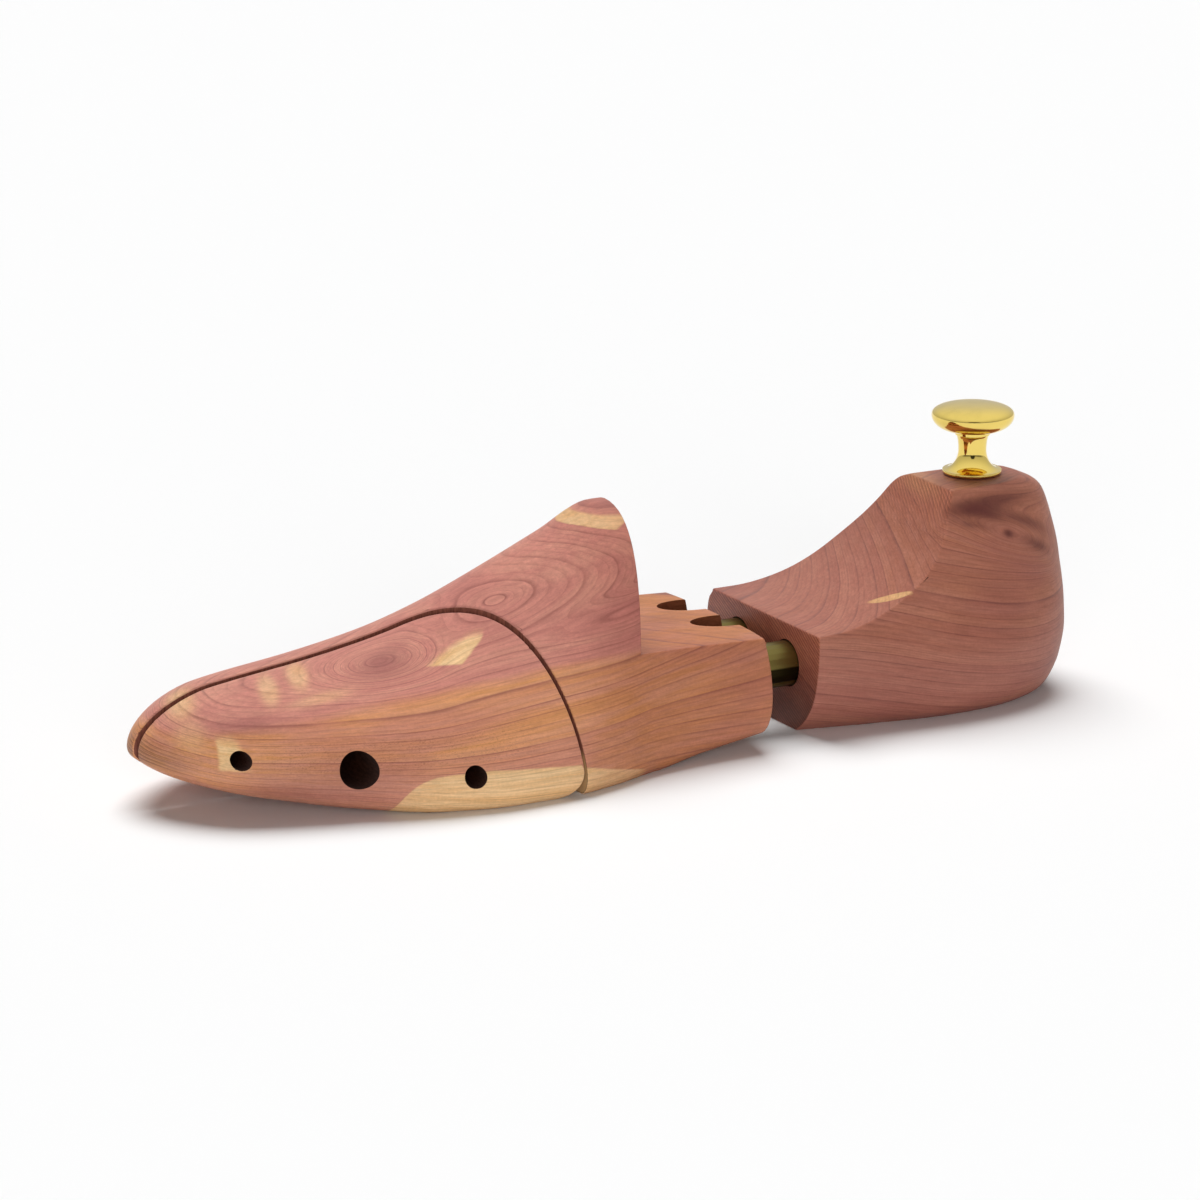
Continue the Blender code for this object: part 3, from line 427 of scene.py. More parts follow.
def seam_line(kerf, shift):
    """The seam's plan, from ahead of the toe round to the outer side. The kerf is (along, across)."""
    bend_x = TOE_X + SEAM_BEND_START
    bend_y = MID_Y + SEAM_BEND_OFFSET
    toe_y = MID_Y + SEAM_TOE_OFFSET
    depth = OUTER_REACH + SEAM_BEND_OFFSET
    points = [(TOE_X - OVERRUN, toe_y - kerf[1] - shift)]
    for angle in arc(ROUND_SIDES):
        normal = Vector((math.sin(angle) / SEAM_BEND_LENGTH, math.cos(angle) / depth)).normalized()
        points.append((bend_x + SEAM_BEND_LENGTH * math.sin(angle) - kerf[0] * normal.x,
                       bend_y - depth * (1 - math.cos(angle)) - kerf[1] * normal.y - shift))
    points.append((points[-1][0], MID_Y - OUTER_REACH - OVERRUN))
    return points


def side_region(name, kerf, shift):
    """A prism that holds everything on the outer side of the seam."""
    outline = seam_line(kerf, shift) + [(TOE_X - OVERRUN, MID_Y - OUTER_REACH - OVERRUN)]
    return prism(name, [(x, y, -OVERRUN) for x, y in outline], (0, 0, INSTEP_HEIGHT + 2 * OVERRUN))


def side_corner_region():
    """What is rounded off the side block's lower rear corner, seen from the side."""
    radius = SIDE_CORNER_RADIUS
    end_x = TOE_X + SEAM_BEND_START + SEAM_BEND_LENGTH - SAW_END_KERF
    profile = [(end_x + OVERRUN, radius), (end_x + OVERRUN, -OVERRUN), (end_x - radius, -OVERRUN)]
    for angle in arc(QUARTER_STEPS):
        profile.append((end_x - radius + radius * math.sin(angle), radius - radius * math.cos(angle)))
    return across_cutter("side_corner_cutter", profile)


def ledge_region():
    """What is taken off behind the instep, above the ledge."""
    face_x = TAIL_X - LEDGE_LENGTH
    front_z = LEDGE_REAR_HEIGHT + LEDGE_RISE
    top_z = INSTEP_HEIGHT + OVERRUN
    lean = INSTEP_LEAN * (top_z - front_z) / (INSTEP_HEIGHT - front_z)
    fall = LEDGE_RISE * OVERRUN / LEDGE_LENGTH
    return across_cutter("ledge_cutter", [
        (face_x, front_z), (TAIL_X + OVERRUN, LEDGE_REAR_HEIGHT - fall),
        (TAIL_X + OVERRUN, top_z), (face_x + lean, top_z)])


def tail_region():
    """What is taken off behind the rear end of the forepart, which bows out and bulges."""
    half = TAIL_HALF_WIDTH
    far = half + OVERRUN
    plan = [(TAIL_X + OVERRUN, -far), (TAIL_X - TAIL_BOW, -far)]
    for i in range(ROUND_SIDES + 1):
        side = math.sin((2 * i / ROUND_SIDES - 1) * math.pi / 2)
        bow = TAIL_BOW * (1 - (1 - abs(side) ** TAIL_BOW_POWER) ** (1 / TAIL_BOW_POWER))
        plan.append((TAIL_X - bow, half * side))
    plan += [(TAIL_X - TAIL_BOW, far), (TAIL_X + OVERRUN, far)]
    rings = []
    for i in range(QUARTER_STEPS + 1):
        z = (LEDGE_REAR_HEIGHT + 2 * OVERRUN) * i / QUARTER_STEPS - OVERRUN
        depth = TAIL_BULGE if z > TAIL_BULGE_HEIGHT else TAIL_UNDERCUT
        pull = depth * ((z - TAIL_BULGE_HEIGHT) / TAIL_BULGE_HEIGHT) ** 2
        rings.append([(x - pull if x <= TAIL_X else x, MID_Y + y, z) for x, y in plan])
    return loft("tail_cutter", rings)


def notch_region(name, centre_y):
    """A notch with a rounded front end, open to the ledge and to the rear."""
    tip_x = TAIL_X - NOTCH_LENGTH
    floor_z = LEDGE_REAR_HEIGHT - NOTCH_DEPTH
    half = NOTCH_WIDTH / 2
    side = []
    for angle in arc(QUARTER_STEPS):
        side.append((tip_x + NOTCH_ROUND_LENGTH * (1 - math.cos(angle)), half * math.sin(angle)))
    side.append((TAIL_X + OVERRUN, half))
    outline = [(x, centre_y + y, floor_z) for x, y in side]
    outline += [(x, centre_y - y, floor_z) for x, y in reversed(side[1:])]
    return prism(name, outline, (0, 0, NOTCH_DEPTH + OVERRUN))


# Heel surface

slice_curves = {name: eased(SLICE_SHARES, values) for name, values in SLICES.items()}


def heel_side(at, front_share, width_share):
    """One side of a heel slice as (distance from the front, distance from the middle)."""
    front = HEEL_HALF_WIDTH * front_share
    waist = HEEL_HALF_WIDTH * at["waist"]
    widest = HEEL_HALF_WIDTH * width_share
    reach = HEEL_LENGTH * at["length"]
    power = at["round_power"]
    front_side = eased((0, HEEL_WAIST, HEEL_WIDEST, reach), (front, waist, widest, widest))
    points = []
    for angle in arc(HEEL_SIDE_STEPS):
        x = reach * math.sin(angle)
        if x < HEEL_WIDEST:
            points.append((x, front_side(x)))
        else:
            back = min(1.0, (x - HEEL_WIDEST) / (reach - HEEL_WIDEST))
            points.append((x, widest * (1 - back ** power) ** (1 / power)))
    return points


def heel_ring(height_share):
    at = {name: curve(height_share) for name, curve in slice_curves.items()}
    outer = heel_side(at, at["outer_front"], at["outer"])
    inner = heel_side(at, at["inner_front"], at["inner"])
    z = HEEL_HEIGHT * height_share
    ring = [(HEEL_X + x, MID_Y - y, z) for x, y in outer]
    ring += [(HEEL_X + x, MID_Y + y, z) for x, y in reversed(inner[:-1])]
    return ring


def heel_shares():
    """Heights of the slices, closer together near the sole and the top."""
    return [(1 - math.cos(angle)) / 2 for angle in arc(HEEL_RINGS, math.pi)]


def scoop_region():
    """The round hollow across the heel, between its front edge and its top."""
    centre_x = HEEL_X + SCOOP_INSET
    centre_z = SCOOP_HEIGHT + SCOOP_RADIUS
    top_z = HEEL_HEIGHT + OVERRUN
    end_angle = math.acos((centre_z - top_z) / SCOOP_RADIUS)
    profile = [(HEEL_X - OVERRUN, top_z), (HEEL_X - OVERRUN, SCOOP_HEIGHT)]
    for angle in arc(ROUND_SIDES, end_angle):
        profile.append((centre_x + SCOOP_RADIUS * math.sin(angle),
                        centre_z - SCOOP_RADIUS * math.cos(angle)))
    return across_cutter("scoop_cutter", profile, HEEL_HALF_WIDTH, HEEL_HALF_WIDTH)


# Wood pieces: cut, then softened along their edges

def apply_cuts(piece, cuts):
    """Applies (cutter, operation, material of the cut face) Booleans and removes the cutters."""
    for cutter, operation, material in cuts:
        if material is not None:
            cutter.data.materials.append(material)
        change = piece.modifiers.new(cutter.name, "BOOLEAN")
        change.object = cutter
        change.operation = operation
        change.solver = "EXACT"
        change.material_mode = "TRANSFER"
    graph = bpy.context.evaluated_depsgraph_get()
    data = bpy.data.meshes.new_from_object(piece.evaluated_get(graph))
    piece.modifiers.clear()
    piece.data = data
    for cutter, _operation, _material in cuts:
        bpy.data.objects.remove(cutter, do_unlink=True)


def untangle(shape):
    """Straightens the places where the outline of a large flat face doubles back at a bevelled corner."""
    for face in shape.faces:
        if len(face.verts) <= TANGLE_CORNERS:
            continue
        for loop in face.loops:
            before = loop.link_loop_prev.vert.co
            after = loop.link_loop_next.vert.co
            first = loop.vert.co - before
            second = after - loop.vert.co
            if first.length > 0 and second.length > 0 and first.angle(second) > math.radians(TANGLE_ANGLE):
                loop.vert.co = before.lerp(after, TANGLE_PULL)


def carve(piece, cuts):
    """Cuts a piece and bevels its sharp edges, but not the crisp ones of its holes and notches."""
    apply_cuts(piece, cuts)
    crisp = [i for i, material in enumerate(piece.data.materials) if material in (bored_wood_painted_shade, cut_wood)]
    shape = bmesh.new()
    shape.from_mesh(piece.data)
    bmesh.ops.remove_doubles(shape, verts=shape.verts, dist=SLIVER)
    bmesh.ops.dissolve_degenerate(shape, dist=SLIVER / 2, edges=shape.edges)
    sharp = []
    for edge in shape.edges:
        worked = any(face.material_index in crisp for face in edge.link_faces)
        if edge.is_manifold and not worked and edge.calc_face_angle(0) > math.radians(EDGE_ANGLE):
            sharp.append(edge)
    bmesh.ops.bevel(shape, geom=sharp, offset=EDGE_SOFTNESS, offset_type="OFFSET", segments=EDGE_CUTS,
                    profile=0.5, affect="EDGES", clamp_overlap=False)
    untangle(shape)
    for vert in shape.verts:
        vert.co.z = max(vert.co.z, 0)
    shape.to_mesh(piece.data)
    shape.free()
    soften(piece.data, WOOD_CREASE_ANGLE)
    return piece


def bored(name, start, axis, length, radius):
    """The cut of a round hole, which leaves near-black bored wood inside, painted shade for the hole's
    depth.
    """
    return (rod_cutter(name, start, axis, length, radius), "DIFFERENCE", bored_wood_painted_shade)


def tube_sides():
    return (("outer", MID_Y - TUBE_SPACING / 2), ("inner", MID_Y + TUBE_SPACING / 2))


def tube_cuts(block, start_x, length, pin_x):
    """The bores of the two tubes in a block, and the holes of their pins."""
    cuts = []
    for side_name, y in tube_sides():
        cuts.append(bored(f"{block}_bore_{side_name}", (start_x, y, TUBE_HEIGHT), "+X", length,
                          TUBE_DIAMETER / 2 + RUNNING_GAP))
        cuts.append(bored(f"{block}_pin_hole_{side_name}", (pin_x, y, -OVERRUN), "+Z",
                          TUBE_HEIGHT + OVERRUN, PIN_DIAMETER / 2 + SEAT_GAP))
    return cuts


def make_forepart():
    forepart = whole_forepart("cedar_forepart")
    dress(forepart, fore_cedar)
    start_x = TAIL_X - TUBE_IN_FOREPART - SEAT_GAP
    pin_x = TAIL_X - TUBE_PLUG_INSET - TUBE_PLUG_LENGTH / 2
    cuts = [(side_region("seam_cutter", (0, 0), 0), "DIFFERENCE", sawn_wood),
            (ledge_region(), "DIFFERENCE", None), (tail_region(), "DIFFERENCE", None)]
    cuts += tube_cuts("tail", start_x, TAIL_X + OVERRUN - start_x, pin_x)
    seam_y = MID_Y + SEAM_BEND_OFFSET
    for place_name, (place, height, depth) in DOWELS.items():
        cuts.append(bored(f"seat_{place_name}", (TOE_X + place, seam_y + depth + SEAT_GAP, height), "-Y",
                          depth + SEAT_GAP + OVERRUN, DOWEL_DIAMETER / 2 + RUNNING_GAP))
    socket_start = (TOE_X + TOE_HOLE_PLACE, seam_y + TOE_SOCKET_DEPTH, TOE_HOLE_HEIGHT)
    cuts.append(bored("toe_socket", socket_start, "-Y", TOE_SOCKET_DEPTH + OVERRUN, TOE_HOLE_DIAMETER / 2))
    for side_name, side in (("outer", -1), ("inner", 1)):
        notch = notch_region(f"notch_{side_name}", MID_Y + NOTCH_OFFSET + side * NOTCH_SPACING / 2)
        cuts.append((notch, "DIFFERENCE", cut_wood))
    return carve(forepart, cuts)


def make_toe_side():
    toe_side = whole_forepart("cedar_toe_side")
    dress(toe_side, fore_cedar)
    seam_y = MID_Y + SEAM_BEND_OFFSET + OVERRUN
    cuts = [(side_region("side_keeper", (SAW_END_KERF, SAW_KERF), SIDE_OPENING), "INTERSECT", sawn_wood),
            (side_corner_region(), "DIFFERENCE", None)]
    holes = {name: (place, height, DOWEL_DIAMETER / 2 + RUNNING_GAP)
             for name, (place, height, _depth) in DOWELS.items()}
    holes["toe"] = (TOE_HOLE_PLACE, TOE_HOLE_HEIGHT, TOE_HOLE_DIAMETER / 2)
    for name, (place, height, radius) in holes.items():
        start = (TOE_X + place, seam_y, height)
        mouth_diameter, mouth_start = MOUTHS.get(name, (0, 2 * OUTER_REACH))
        cuts.append(bored(f"hole_{name}", start, "-Y", mouth_start + OVERRUN, radius))
        if mouth_diameter:
            cuts.append(bored(f"mouth_{name}", start, "-Y", 2 * OUTER_REACH, mouth_diameter / 2))
    return carve(toe_side, cuts)


def make_heel():
    heel = loft("cedar_heel", [heel_ring(share) for share in heel_shares()])
    dress(heel, heel_cedar)
    cuts = [(scoop_region(), "DIFFERENCE", None)]
    cuts += tube_cuts("heel", HEEL_X - OVERRUN, HEEL_BORE_DEPTH + OVERRUN, HEEL_X + HEEL_PIN_INSET)
    return carve(heel, cuts)


# Knob and springs

def knob_profile():
    """The knob's outline from the axis at its top, round the cap and neck, to the foot and its bore."""
    cap = KNOB_CAP_DIAMETER / 2
    collar = KNOB_COLLAR_DIAMETER / 2
    neck = KNOB_NECK_DIAMETER / 2
    flange = KNOB_FLANGE_DIAMETER / 2
    crown = KNOB_HEIGHT - KNOB_CAP_LEVEL
    belly = KNOB_CAP_LEVEL - KNOB_CAP_UNDERSIDE
    rise = KNOB_COLLAR_LEVEL - KNOB_NECK_LEVEL
    drop = KNOB_NECK_LEVEL - KNOB_FLANGE_THICKNESS
    lip = KNOB_FLANGE_THICKNESS / 2
    bore = STUD_DIAMETER / 2 + SEAT_GAP
    bore_top = stud_high.z - knob_low.z + SEAT_GAP
    quarter = arc(QUARTER_STEPS)
    profile = [(cap * math.sin(angle) ** KNOB_CAP_FULLNESS,
                KNOB_CAP_LEVEL + crown * max(math.cos(angle), 0) ** KNOB_CAP_FULLNESS) for angle in quarter]
    profile += [(collar + (cap - collar) * math.cos(angle), KNOB_CAP_LEVEL - belly * math.sin(angle))
                for angle in quarter[1:]]
    profile.append((collar, KNOB_COLLAR_LEVEL))
    profile += [(neck + (collar - neck) * (1 - math.sin(angle)), KNOB_NECK_LEVEL + rise * math.cos(angle))
                for angle in quarter[1:]]
    profile += [(neck + (flange - neck) * (1 - math.cos(angle)), KNOB_NECK_LEVEL - drop * math.sin(angle))
                for angle in quarter[1:]]
    profile += [(flange - lip / 2 + lip / 2 * math.cos(math.pi / 2 - angle), lip + lip * math.cos(angle))
                for angle in arc(EDGE_STEPS, math.pi)[1:]]
    return profile + [(bore, 0), (bore, bore_top), (0, bore_top)]


def make_knob():
    place = Vector(((knob_low.x + knob_high.x) / 2, MID_Y, knob_low.z))
    data = turned_mesh("brass_knob", knob_profile(), KNOB_SIDES)
    data.transform(Matrix.Translation(place))
    soften(data, METAL_CREASE_ANGLE)
    return link("brass_knob", data)


def make_spring(name, start, direction, length, diameter, wire, curls):
    """A compression spring as one round tube, with its ends closed."""
    forward = Vector(direction)
    side = Vector((0, 0, 1))
    other = forward.cross(side)
    coil = (diameter - wire) / 2
    run = length - wire
    total = curls * COIL_STEPS

    def centre(i):
        share = i / total
        angle = math.tau * curls * share
        return (Vector(start) + forward * (wire / 2 + run * share)
                + side * coil * math.cos(angle) + other * coil * math.sin(angle))

    def build(shape):
        loops = []
        for i in range(total + 1):
            here = centre(i)
            ahead = (centre(i + 1) - centre(i - 1)).normalized()
            out = (here - Vector(start) - forward * (here - Vector(start)).dot(forward)).normalized()
            out = (out - ahead * out.dot(ahead)).normalized()
            across = ahead.cross(out)
            turns = [math.tau * k / WIRE_SIDES for k in range(WIRE_SIDES)]
            loops.append([shape.verts.new(
                here + (out * math.cos(turn) + across * math.sin(turn)) * wire / 2) for turn in turns])
        join_loops(shape, loops)
        close_ends(shape, loops)

    data = mesh_from(name, build)
    soften(data, METAL_CREASE_ANGLE)
    return link(name, data)


# Material nodes

X_AXIS = (1.0, 0.0, 0.0)
Z_AXIS = (0.0, 0.0, 1.0)


class Value:
    """A node's output. Arithmetic on it adds math nodes, or vector ones where the other side is a tuple."""

    def __init__(self, tree, socket):
        self.tree = tree
        self.socket = socket

    def math(self, operation, *others):
        kind = "VectorMath" if any(isinstance(other, tuple) for other in others) else "Math"
        return self.tree.add(kind, (self, *others), operation=operation)

    def __add__(self, other):
        return self.math("ADD", other)

    def __sub__(self, other):
        return self.math("SUBTRACT", other)

    def __rsub__(self, other):
        return self.tree.add("Math", (other, self), operation="SUBTRACT")

    def __mul__(self, other):
        return self.math("MULTIPLY", other)

    def __truediv__(self, other):
        return self.math("DIVIDE", other)

    def __pow__(self, other):
        return self.math("POWER", other)

    def dot(self, other):
        return self.tree.add("VectorMath", (self, other), "Value", operation="DOT_PRODUCT")

    def scaled(self, factor):
        return self.tree.add("VectorMath", {0: self, "Scale": factor}, operation="SCALE")

    def noise(self, scale, detail, roughness):
        sources = {"Vector": self, "Scale": scale, "Detail": detail, "Roughness": roughness}
        return self.tree.add("TexNoise", sources)

    def span(self, low, high, to_low=0.0, to_high=1.0, smooth=True):
        """The value stretched from low..high to to_low..to_high, and held there outside."""
        kind = "SMOOTHSTEP" if smooth else "LINEAR"
        sources = (self, low, high, to_low, to_high)
        return self.tree.add("MapRange", sources, "Result", interpolation_type=kind)

    def between(self, low, high, soft):
        """1 from low to high and 0 outside, with soft ends."""
        return self.span(low - soft, low + soft) * self.span(high - soft, high + soft, 1.0, 0.0)


class Tree:
    """The nodes of a material or of the world."""

    def __init__(self, owner):
        self.owner = owner
        owner.use_nodes = True
        self.nodes = owner.node_tree.nodes
        self.links = owner.node_tree.links
        self.shader = self.nodes.get("Principled BSDF") or self.nodes["Background"]

    def join(self, socket, source):
        if isinstance(source, Value):
            self.links.new(source.socket, socket)
        else:
            socket.default_value = source

    def add(self, kind, sources=(), output=0, **settings):
        """The output of a new node, with its inputs set or linked to sources, in their order or by name."""
        node = self.nodes.new("ShaderNode" + kind)
        for name, setting in settings.items():
            setattr(node, name, setting)
        for key, source in sources.items() if isinstance(sources, dict) else enumerate(sources):
            self.join(node.inputs[key], source)
        return Value(self, node.outputs[output])

    def mix(self, share, first, second, blend="MIX"):
        return self.add("Mix", {0: share, 6: first, 7: second}, 2, data_type="RGBA", blend_type=blend)

    def shade(self, sources):
        """Sets or links the shader's inputs, by name."""
        for name, source in sources.items():
            self.join(self.shader.inputs[name], source)

    def bump(self, height, strength, distance):
        sources = {"Strength": strength, "Distance": distance, "Height": height}
        self.shade({"Normal": self.add("Bump", sources)})

    def millimetres(self):
        """The piece's own coordinates in mm, measured from the tree's middle plane."""
        return (self.add("TexCoord", output="Object") - (0, MID_Y, 0)) * (1000, 1000, 1000)


def new_material(name):
    return Tree(bpy.data.materials.new(name))


def chain(operation, values):
    """The product or the greatest of several values."""
    result = values[0]
    for value in values[1:]:
        result = result.math(operation, value)
    return result


def darker(colour, share):
    return tuple(channel * share for channel in colour[:3]) + (1,)


def bell(place, centre, direction, long_size, short_size):
    """1 at a centre, falling off as a stretched bell."""
    offset = place - centre
    along = offset.dot(tuple(Vector(direction).normalized()))
    along_square = along * along
    square = offset.dot(offset) - along_square
    fall = along_square * (-0.5 / long_size ** 2) + square * (-0.5 / short_size ** 2)
    return fall.math("EXPONENT")


def within(place, wobble, sides):
    """1 inside a set of planes (normal, level, softness), and 0 outside."""
    return chain("MULTIPLY", [(place.dot(normal) + wobble * soft).span(level - soft, level + soft)
                              for normal, level, soft in sides])


# The cedar's patterns: stretch along X, Y and Z, then scale, detail and roughness
CEDAR_PATTERNS = {
    "slow": ((0.35, 1.0, 1.0), 0.045, 2.0, 0.5), "ripple": ((0.14, 0.6, 0.6), 0.5, 2.0, 0.5),
    "patchy": ((0.12, 0.5, 0.5), 0.3, 2.0, 0.5), "pore": ((0.3, 1.0, 1.0), 3.0, 2.0, 0.6),
    "fleck": ((1.5, 0.7, 0.7), 0.9, 2.0, 0.7), "ragged": ((0.2, 1.0, 1.0), 0.8, 3.0, 0.6),
    "speck": ((1.0, 1.8, 1.8), 1.7, 1.0, 0.5),
}
# How much each pattern bends the growth layers, in mm
WAVER = 0.9
RIPPLE = 0.18

# Growth rings: their width in mm, (rate, size, start) of what makes their steps unequal, and their lines
RING_WIDTH = 2.6
RING_SWING = (1.7, 0.25)
RING_DRIFT = (0.63, 0.2, 1.0)
RING_CHANCE = (12.9, 43.7)
LINE_RISE = (0.78, 0.97)
LINE_SHARPNESS = 2.4
LINE_FALL = (0.0, 0.05, 1.0, 0.0)
LINE_PATCHES = (0.32, 0.6, 0.4, 1.0)
FINE_RINGS = 3.0
FINE_RISE = (0.4, 1.0)
FINE_SHARPNESS = 2.5

# Fibres and broad streaks: stretch along X, then scale, detail and roughness
FIBRE = (0.05, 2.0, 3.0, 0.65)
STREAK = (0.03, 0.42, 3.0, 0.6)
FIBRE_SLANT = (0, 0.35, 0.12)

# Shares of each tone. A range is (from, to), and the values there if they aren't 0 and 1
LIGHT_RANGE = (0.36, 0.68, 0.0, 0.5)
MAUVE_RANGE = (0.5, 0.68, 0.0, 0.4)
MAUVE_BY_RING = 0.22
MAUVE_IN_RING = 0.2
PALE_RANGE = (0.35, 0.65)
PALE_SHARE = 0.95
LINE_SHARES = (0.0, 1.0, 0.55, 0.35)
FINE_LINE_SHARE = 0.2
# Painted shade on the forepart's tail: the run and the range in mm over which the "rear" tone darkens it
TAIL_SHADE_RUN = (1.0, 0.0, -0.3)
TAIL_SHADE_RANGE = (-44.0, -14.0)
FIBRE_RANGE = (0.25, 0.8, 0.86, 1.12)
PORE_RANGE = (0.2, 0.8, 0.94, 1.05)
FLECK_RANGE = (0.25, 0.75, 0.96, 1.035)
SPECK_RANGE = (0.56, 0.7, 0.0, -0.2)
ROUGH_RANGE = (0.0, 1.0, 0.5, 0.42)
CEDAR_SPECULAR = 0.35
CEDAR_BUMP = (0.2, 0.0001)

# End grain and its hatch, with the hatch's width and heights in mm
END_GRAIN_RANGE = (0.7, 0.95)
HATCH_WIDTH = 0.95
HATCH_WAVER = 3.0
HATCH_RANGE = (0.0, 1.0, 1.15, 0.5)
HATCH_HEIGHTS = (4.0, 26.0, 0.5, 1.25)


def wave(phase, rate, size, start=0.0):
    return (phase * rate + start).math("SINE") * size


def cedar(name, growth, band, tones, hatch_run, darks, glows_and_painted_light, sapwood=None, patches=(), layers=(),
          speckle=()):
    """Cedar cut from one solid: growth lines, fibres, coloured bands, pale sapwood and dark knots, with
    painted shade on the forepart's tail and painted light on the heel's plateau.
    """
    tree = new_material(name)
    place = tree.millimetres()
    pattern = {key: (place * stretch).noise(*fineness)
               for key, (stretch, *fineness) in CEDAR_PATTERNS.items()}
    slow = pattern["slow"]
    field = growth(place) + (slow - 0.5) * WAVER + (pattern["ripple"] - 0.5) * RIPPLE

    # Growth rings: unequal steps, each darkening slowly and ending in a thin line
    phase = field / RING_WIDTH
    rings = phase + wave(phase, *RING_SWING) + wave(phase, *RING_DRIFT)
    turn = rings.math("FRACT")
    chance = wave(rings.math("FLOOR"), *RING_CHANCE).math("FRACT")
    strength = chance * 0.6 + 0.4
    rising = turn.span(*LINE_RISE, smooth=False) ** LINE_SHARPNESS
    line = rising.math("MAXIMUM", turn.span(*LINE_FALL)) * strength * pattern["patchy"].span(*LINE_PATCHES)
    late = turn * turn * strength

    # Finer rings between them, and fibres that follow the rings
    fine_line = (rings * FINE_RINGS).math("FRACT").span(*FINE_RISE, smooth=False) ** FINE_SHARPNESS
    x = place.dot(X_AXIS)
    cross = place.dot(FIBRE_SLANT)
    fibre, broad = (tree.add("CombineXYZ", (x * stretch, field, cross)).noise(*fineness)
                    for stretch, *fineness in (FIBRE, STREAK))

    wood = tree.mix(band(place, slow), tones["pink"], tones["orange"])
    wood = tree.mix(broad.span(*LIGHT_RANGE), wood, tones["light"])
    for share in (slow.span(*MAUVE_RANGE), chance * MAUVE_BY_RING, late * MAUVE_IN_RING):
        wood = tree.mix(share, wood, tones["mauve"])

    # Pale wood: patches, the sapwood strip, layers of the growth and soft glows, among them painted light
    # on the heel's plateau
    ragged = pattern["ragged"] - 0.5
    pale = [within(place, ragged, sides) for sides in patches]
    if sapwood:
        pale.append(sapwood(place, ragged))
    for low, high, soft, sides, amount in layers:
        pale.append(rings.between(low, high, soft) * within(place, ragged, sides) * amount)
    for *spot, amount, low, high in glows_and_painted_light:
        pale.append(bell(place, *spot).span(low, high) * amount)
    pale_share = chain("MAXIMUM", pale)
    pale_tone = tree.mix(broad.span(*PALE_RANGE), tones["pale"], tones["pale_deep"])
    wood = tree.mix(pale_share * PALE_SHARE, wood, pale_tone)

    line_tone = tree.mix(pale_share, tones["line"], tones["pale_line"])
    wood = tree.mix(line * pale_share.span(*LINE_SHARES), wood, line_tone)
    wood = tree.mix(fine_line * FINE_LINE_SHARE, wood, line_tone)
    for *spot, amount in darks:
        wood = tree.mix(bell(place, *spot) * amount, wood, tones["dark"])

    # End grain is darker and shows its rings as a fine hatch
    facing = tree.add("TexCoord", output="Normal").dot(X_AXIS).math("ABSOLUTE")
    hatch_turn = ((place.dot(hatch_run) + slow * HATCH_WAVER) / HATCH_WIDTH).math("FRACT")
    hatch = hatch_turn.span(*HATCH_RANGE, smooth=False) * place.dot(Z_AXIS).span(*HATCH_HEIGHTS)
    end_tone = tree.mix(1.0, wood.scaled(hatch), tones["end"], "MULTIPLY")
    wood = tree.mix(facing.span(*END_GRAIN_RANGE), wood, end_tone)
    # Painted shade: the "rear" tone darkens the forepart towards its tail, where its side turns from the
    # light
    if "rear" in tones:
        wood = tree.mix(place.dot(TAIL_SHADE_RUN).span(*TAIL_SHADE_RANGE), wood, tones["rear"], "MULTIPLY")

    pore = pattern["pore"]
    grain = fibre.span(*FIBRE_RANGE) * pore.span(*PORE_RANGE) * pattern["fleck"].span(*FLECK_RANGE)
    wood = wood.scaled(grain)
    if speckle:
        specks = pattern["speck"].span(*SPECK_RANGE) * within(place, ragged, speckle)
        wood = wood.scaled(specks + 1.0)
    tree.shade({"Base Color": wood, "Roughness": line.span(*ROUGH_RANGE),
                "Specular IOR Level": CEDAR_SPECULAR})
    tree.bump(fibre * 0.6 + pore * 0.4 + line * 0.5, *CEDAR_BUMP)
    return tree.owner


# The forepart's growth field, in mm: a fan from the toe, and nested ovals on the instep
FAN_SLANT = (0.0, -0.18, 1.0)
FAN_HEIGHT = 19.0
FAN_START = -40.0
FAN_LENGTH = 146
NEST_CENTRE = (-39.4, 0.0, 46.0)
NEST_FORWARD = (0.956, 0.0, 0.293)
NEST_UP = (-0.293, 0.0, 0.956)
NEST_STRETCH = 3.6
NEST_PEAK = 48.0
NEST_BLUNTNESS = 0.3
NEST_RISE_RANGE = (-12.0, -5.5)
NEST_X_RANGE = (-66.0, -54.0)

# Places in the wood, in mm. A knot is (swell, (centre, direction, long size, short size))
FORE_KNOTS = [(14.0, ((-76, -12.5, 35), (1, -0.1, 0.05), 9.5, 5.5))]
HEEL_SLANT = (0.2, -0.38, 1.0)
HEEL_KNOTS = [
    (14.0, ((116.5, -19, 45.3), (1, 0, -0.35), 10.5, 3.6)),
    (6.0, ((100, -14, 53), (1, 0, -0.35), 12, 4)),
]
# The "rear" tone is painted shade for the tail, not a colour of the wood
FORE_TONES = {
    "pink": (0.585, 0.238, 0.186, 1), "orange": (0.67, 0.300, 0.108, 1), "light": (0.71, 0.350, 0.245, 1),
    "mauve": (0.48, 0.175, 0.148, 1), "pale": (0.88, 0.60, 0.32, 1), "pale_deep": (0.78, 0.48, 0.22, 1),
    "pale_line": (0.42, 0.20, 0.08, 1), "line": (0.20, 0.055, 0.045, 1), "dark": (0.24, 0.075, 0.07, 1),
    "end": (0.80, 0.78, 0.74, 1), "rear": (0.78, 0.67, 0.66, 1),
}
HEEL_TONES = {
    "pink": (0.395, 0.146, 0.101, 1), "orange": (0.385, 0.141, 0.077, 1), "light": (0.48, 0.20, 0.135, 1),
    "mauve": (0.28, 0.085, 0.068, 1), "pale": (0.74, 0.44, 0.20, 1), "pale_deep": (0.62, 0.33, 0.15, 1),
    "pale_line": (0.42, 0.20, 0.08, 1), "line": (0.13, 0.034, 0.026, 1), "dark": (0.10, 0.022, 0.016, 1),
    "end": (1.05, 0.94, 0.86, 1),
}
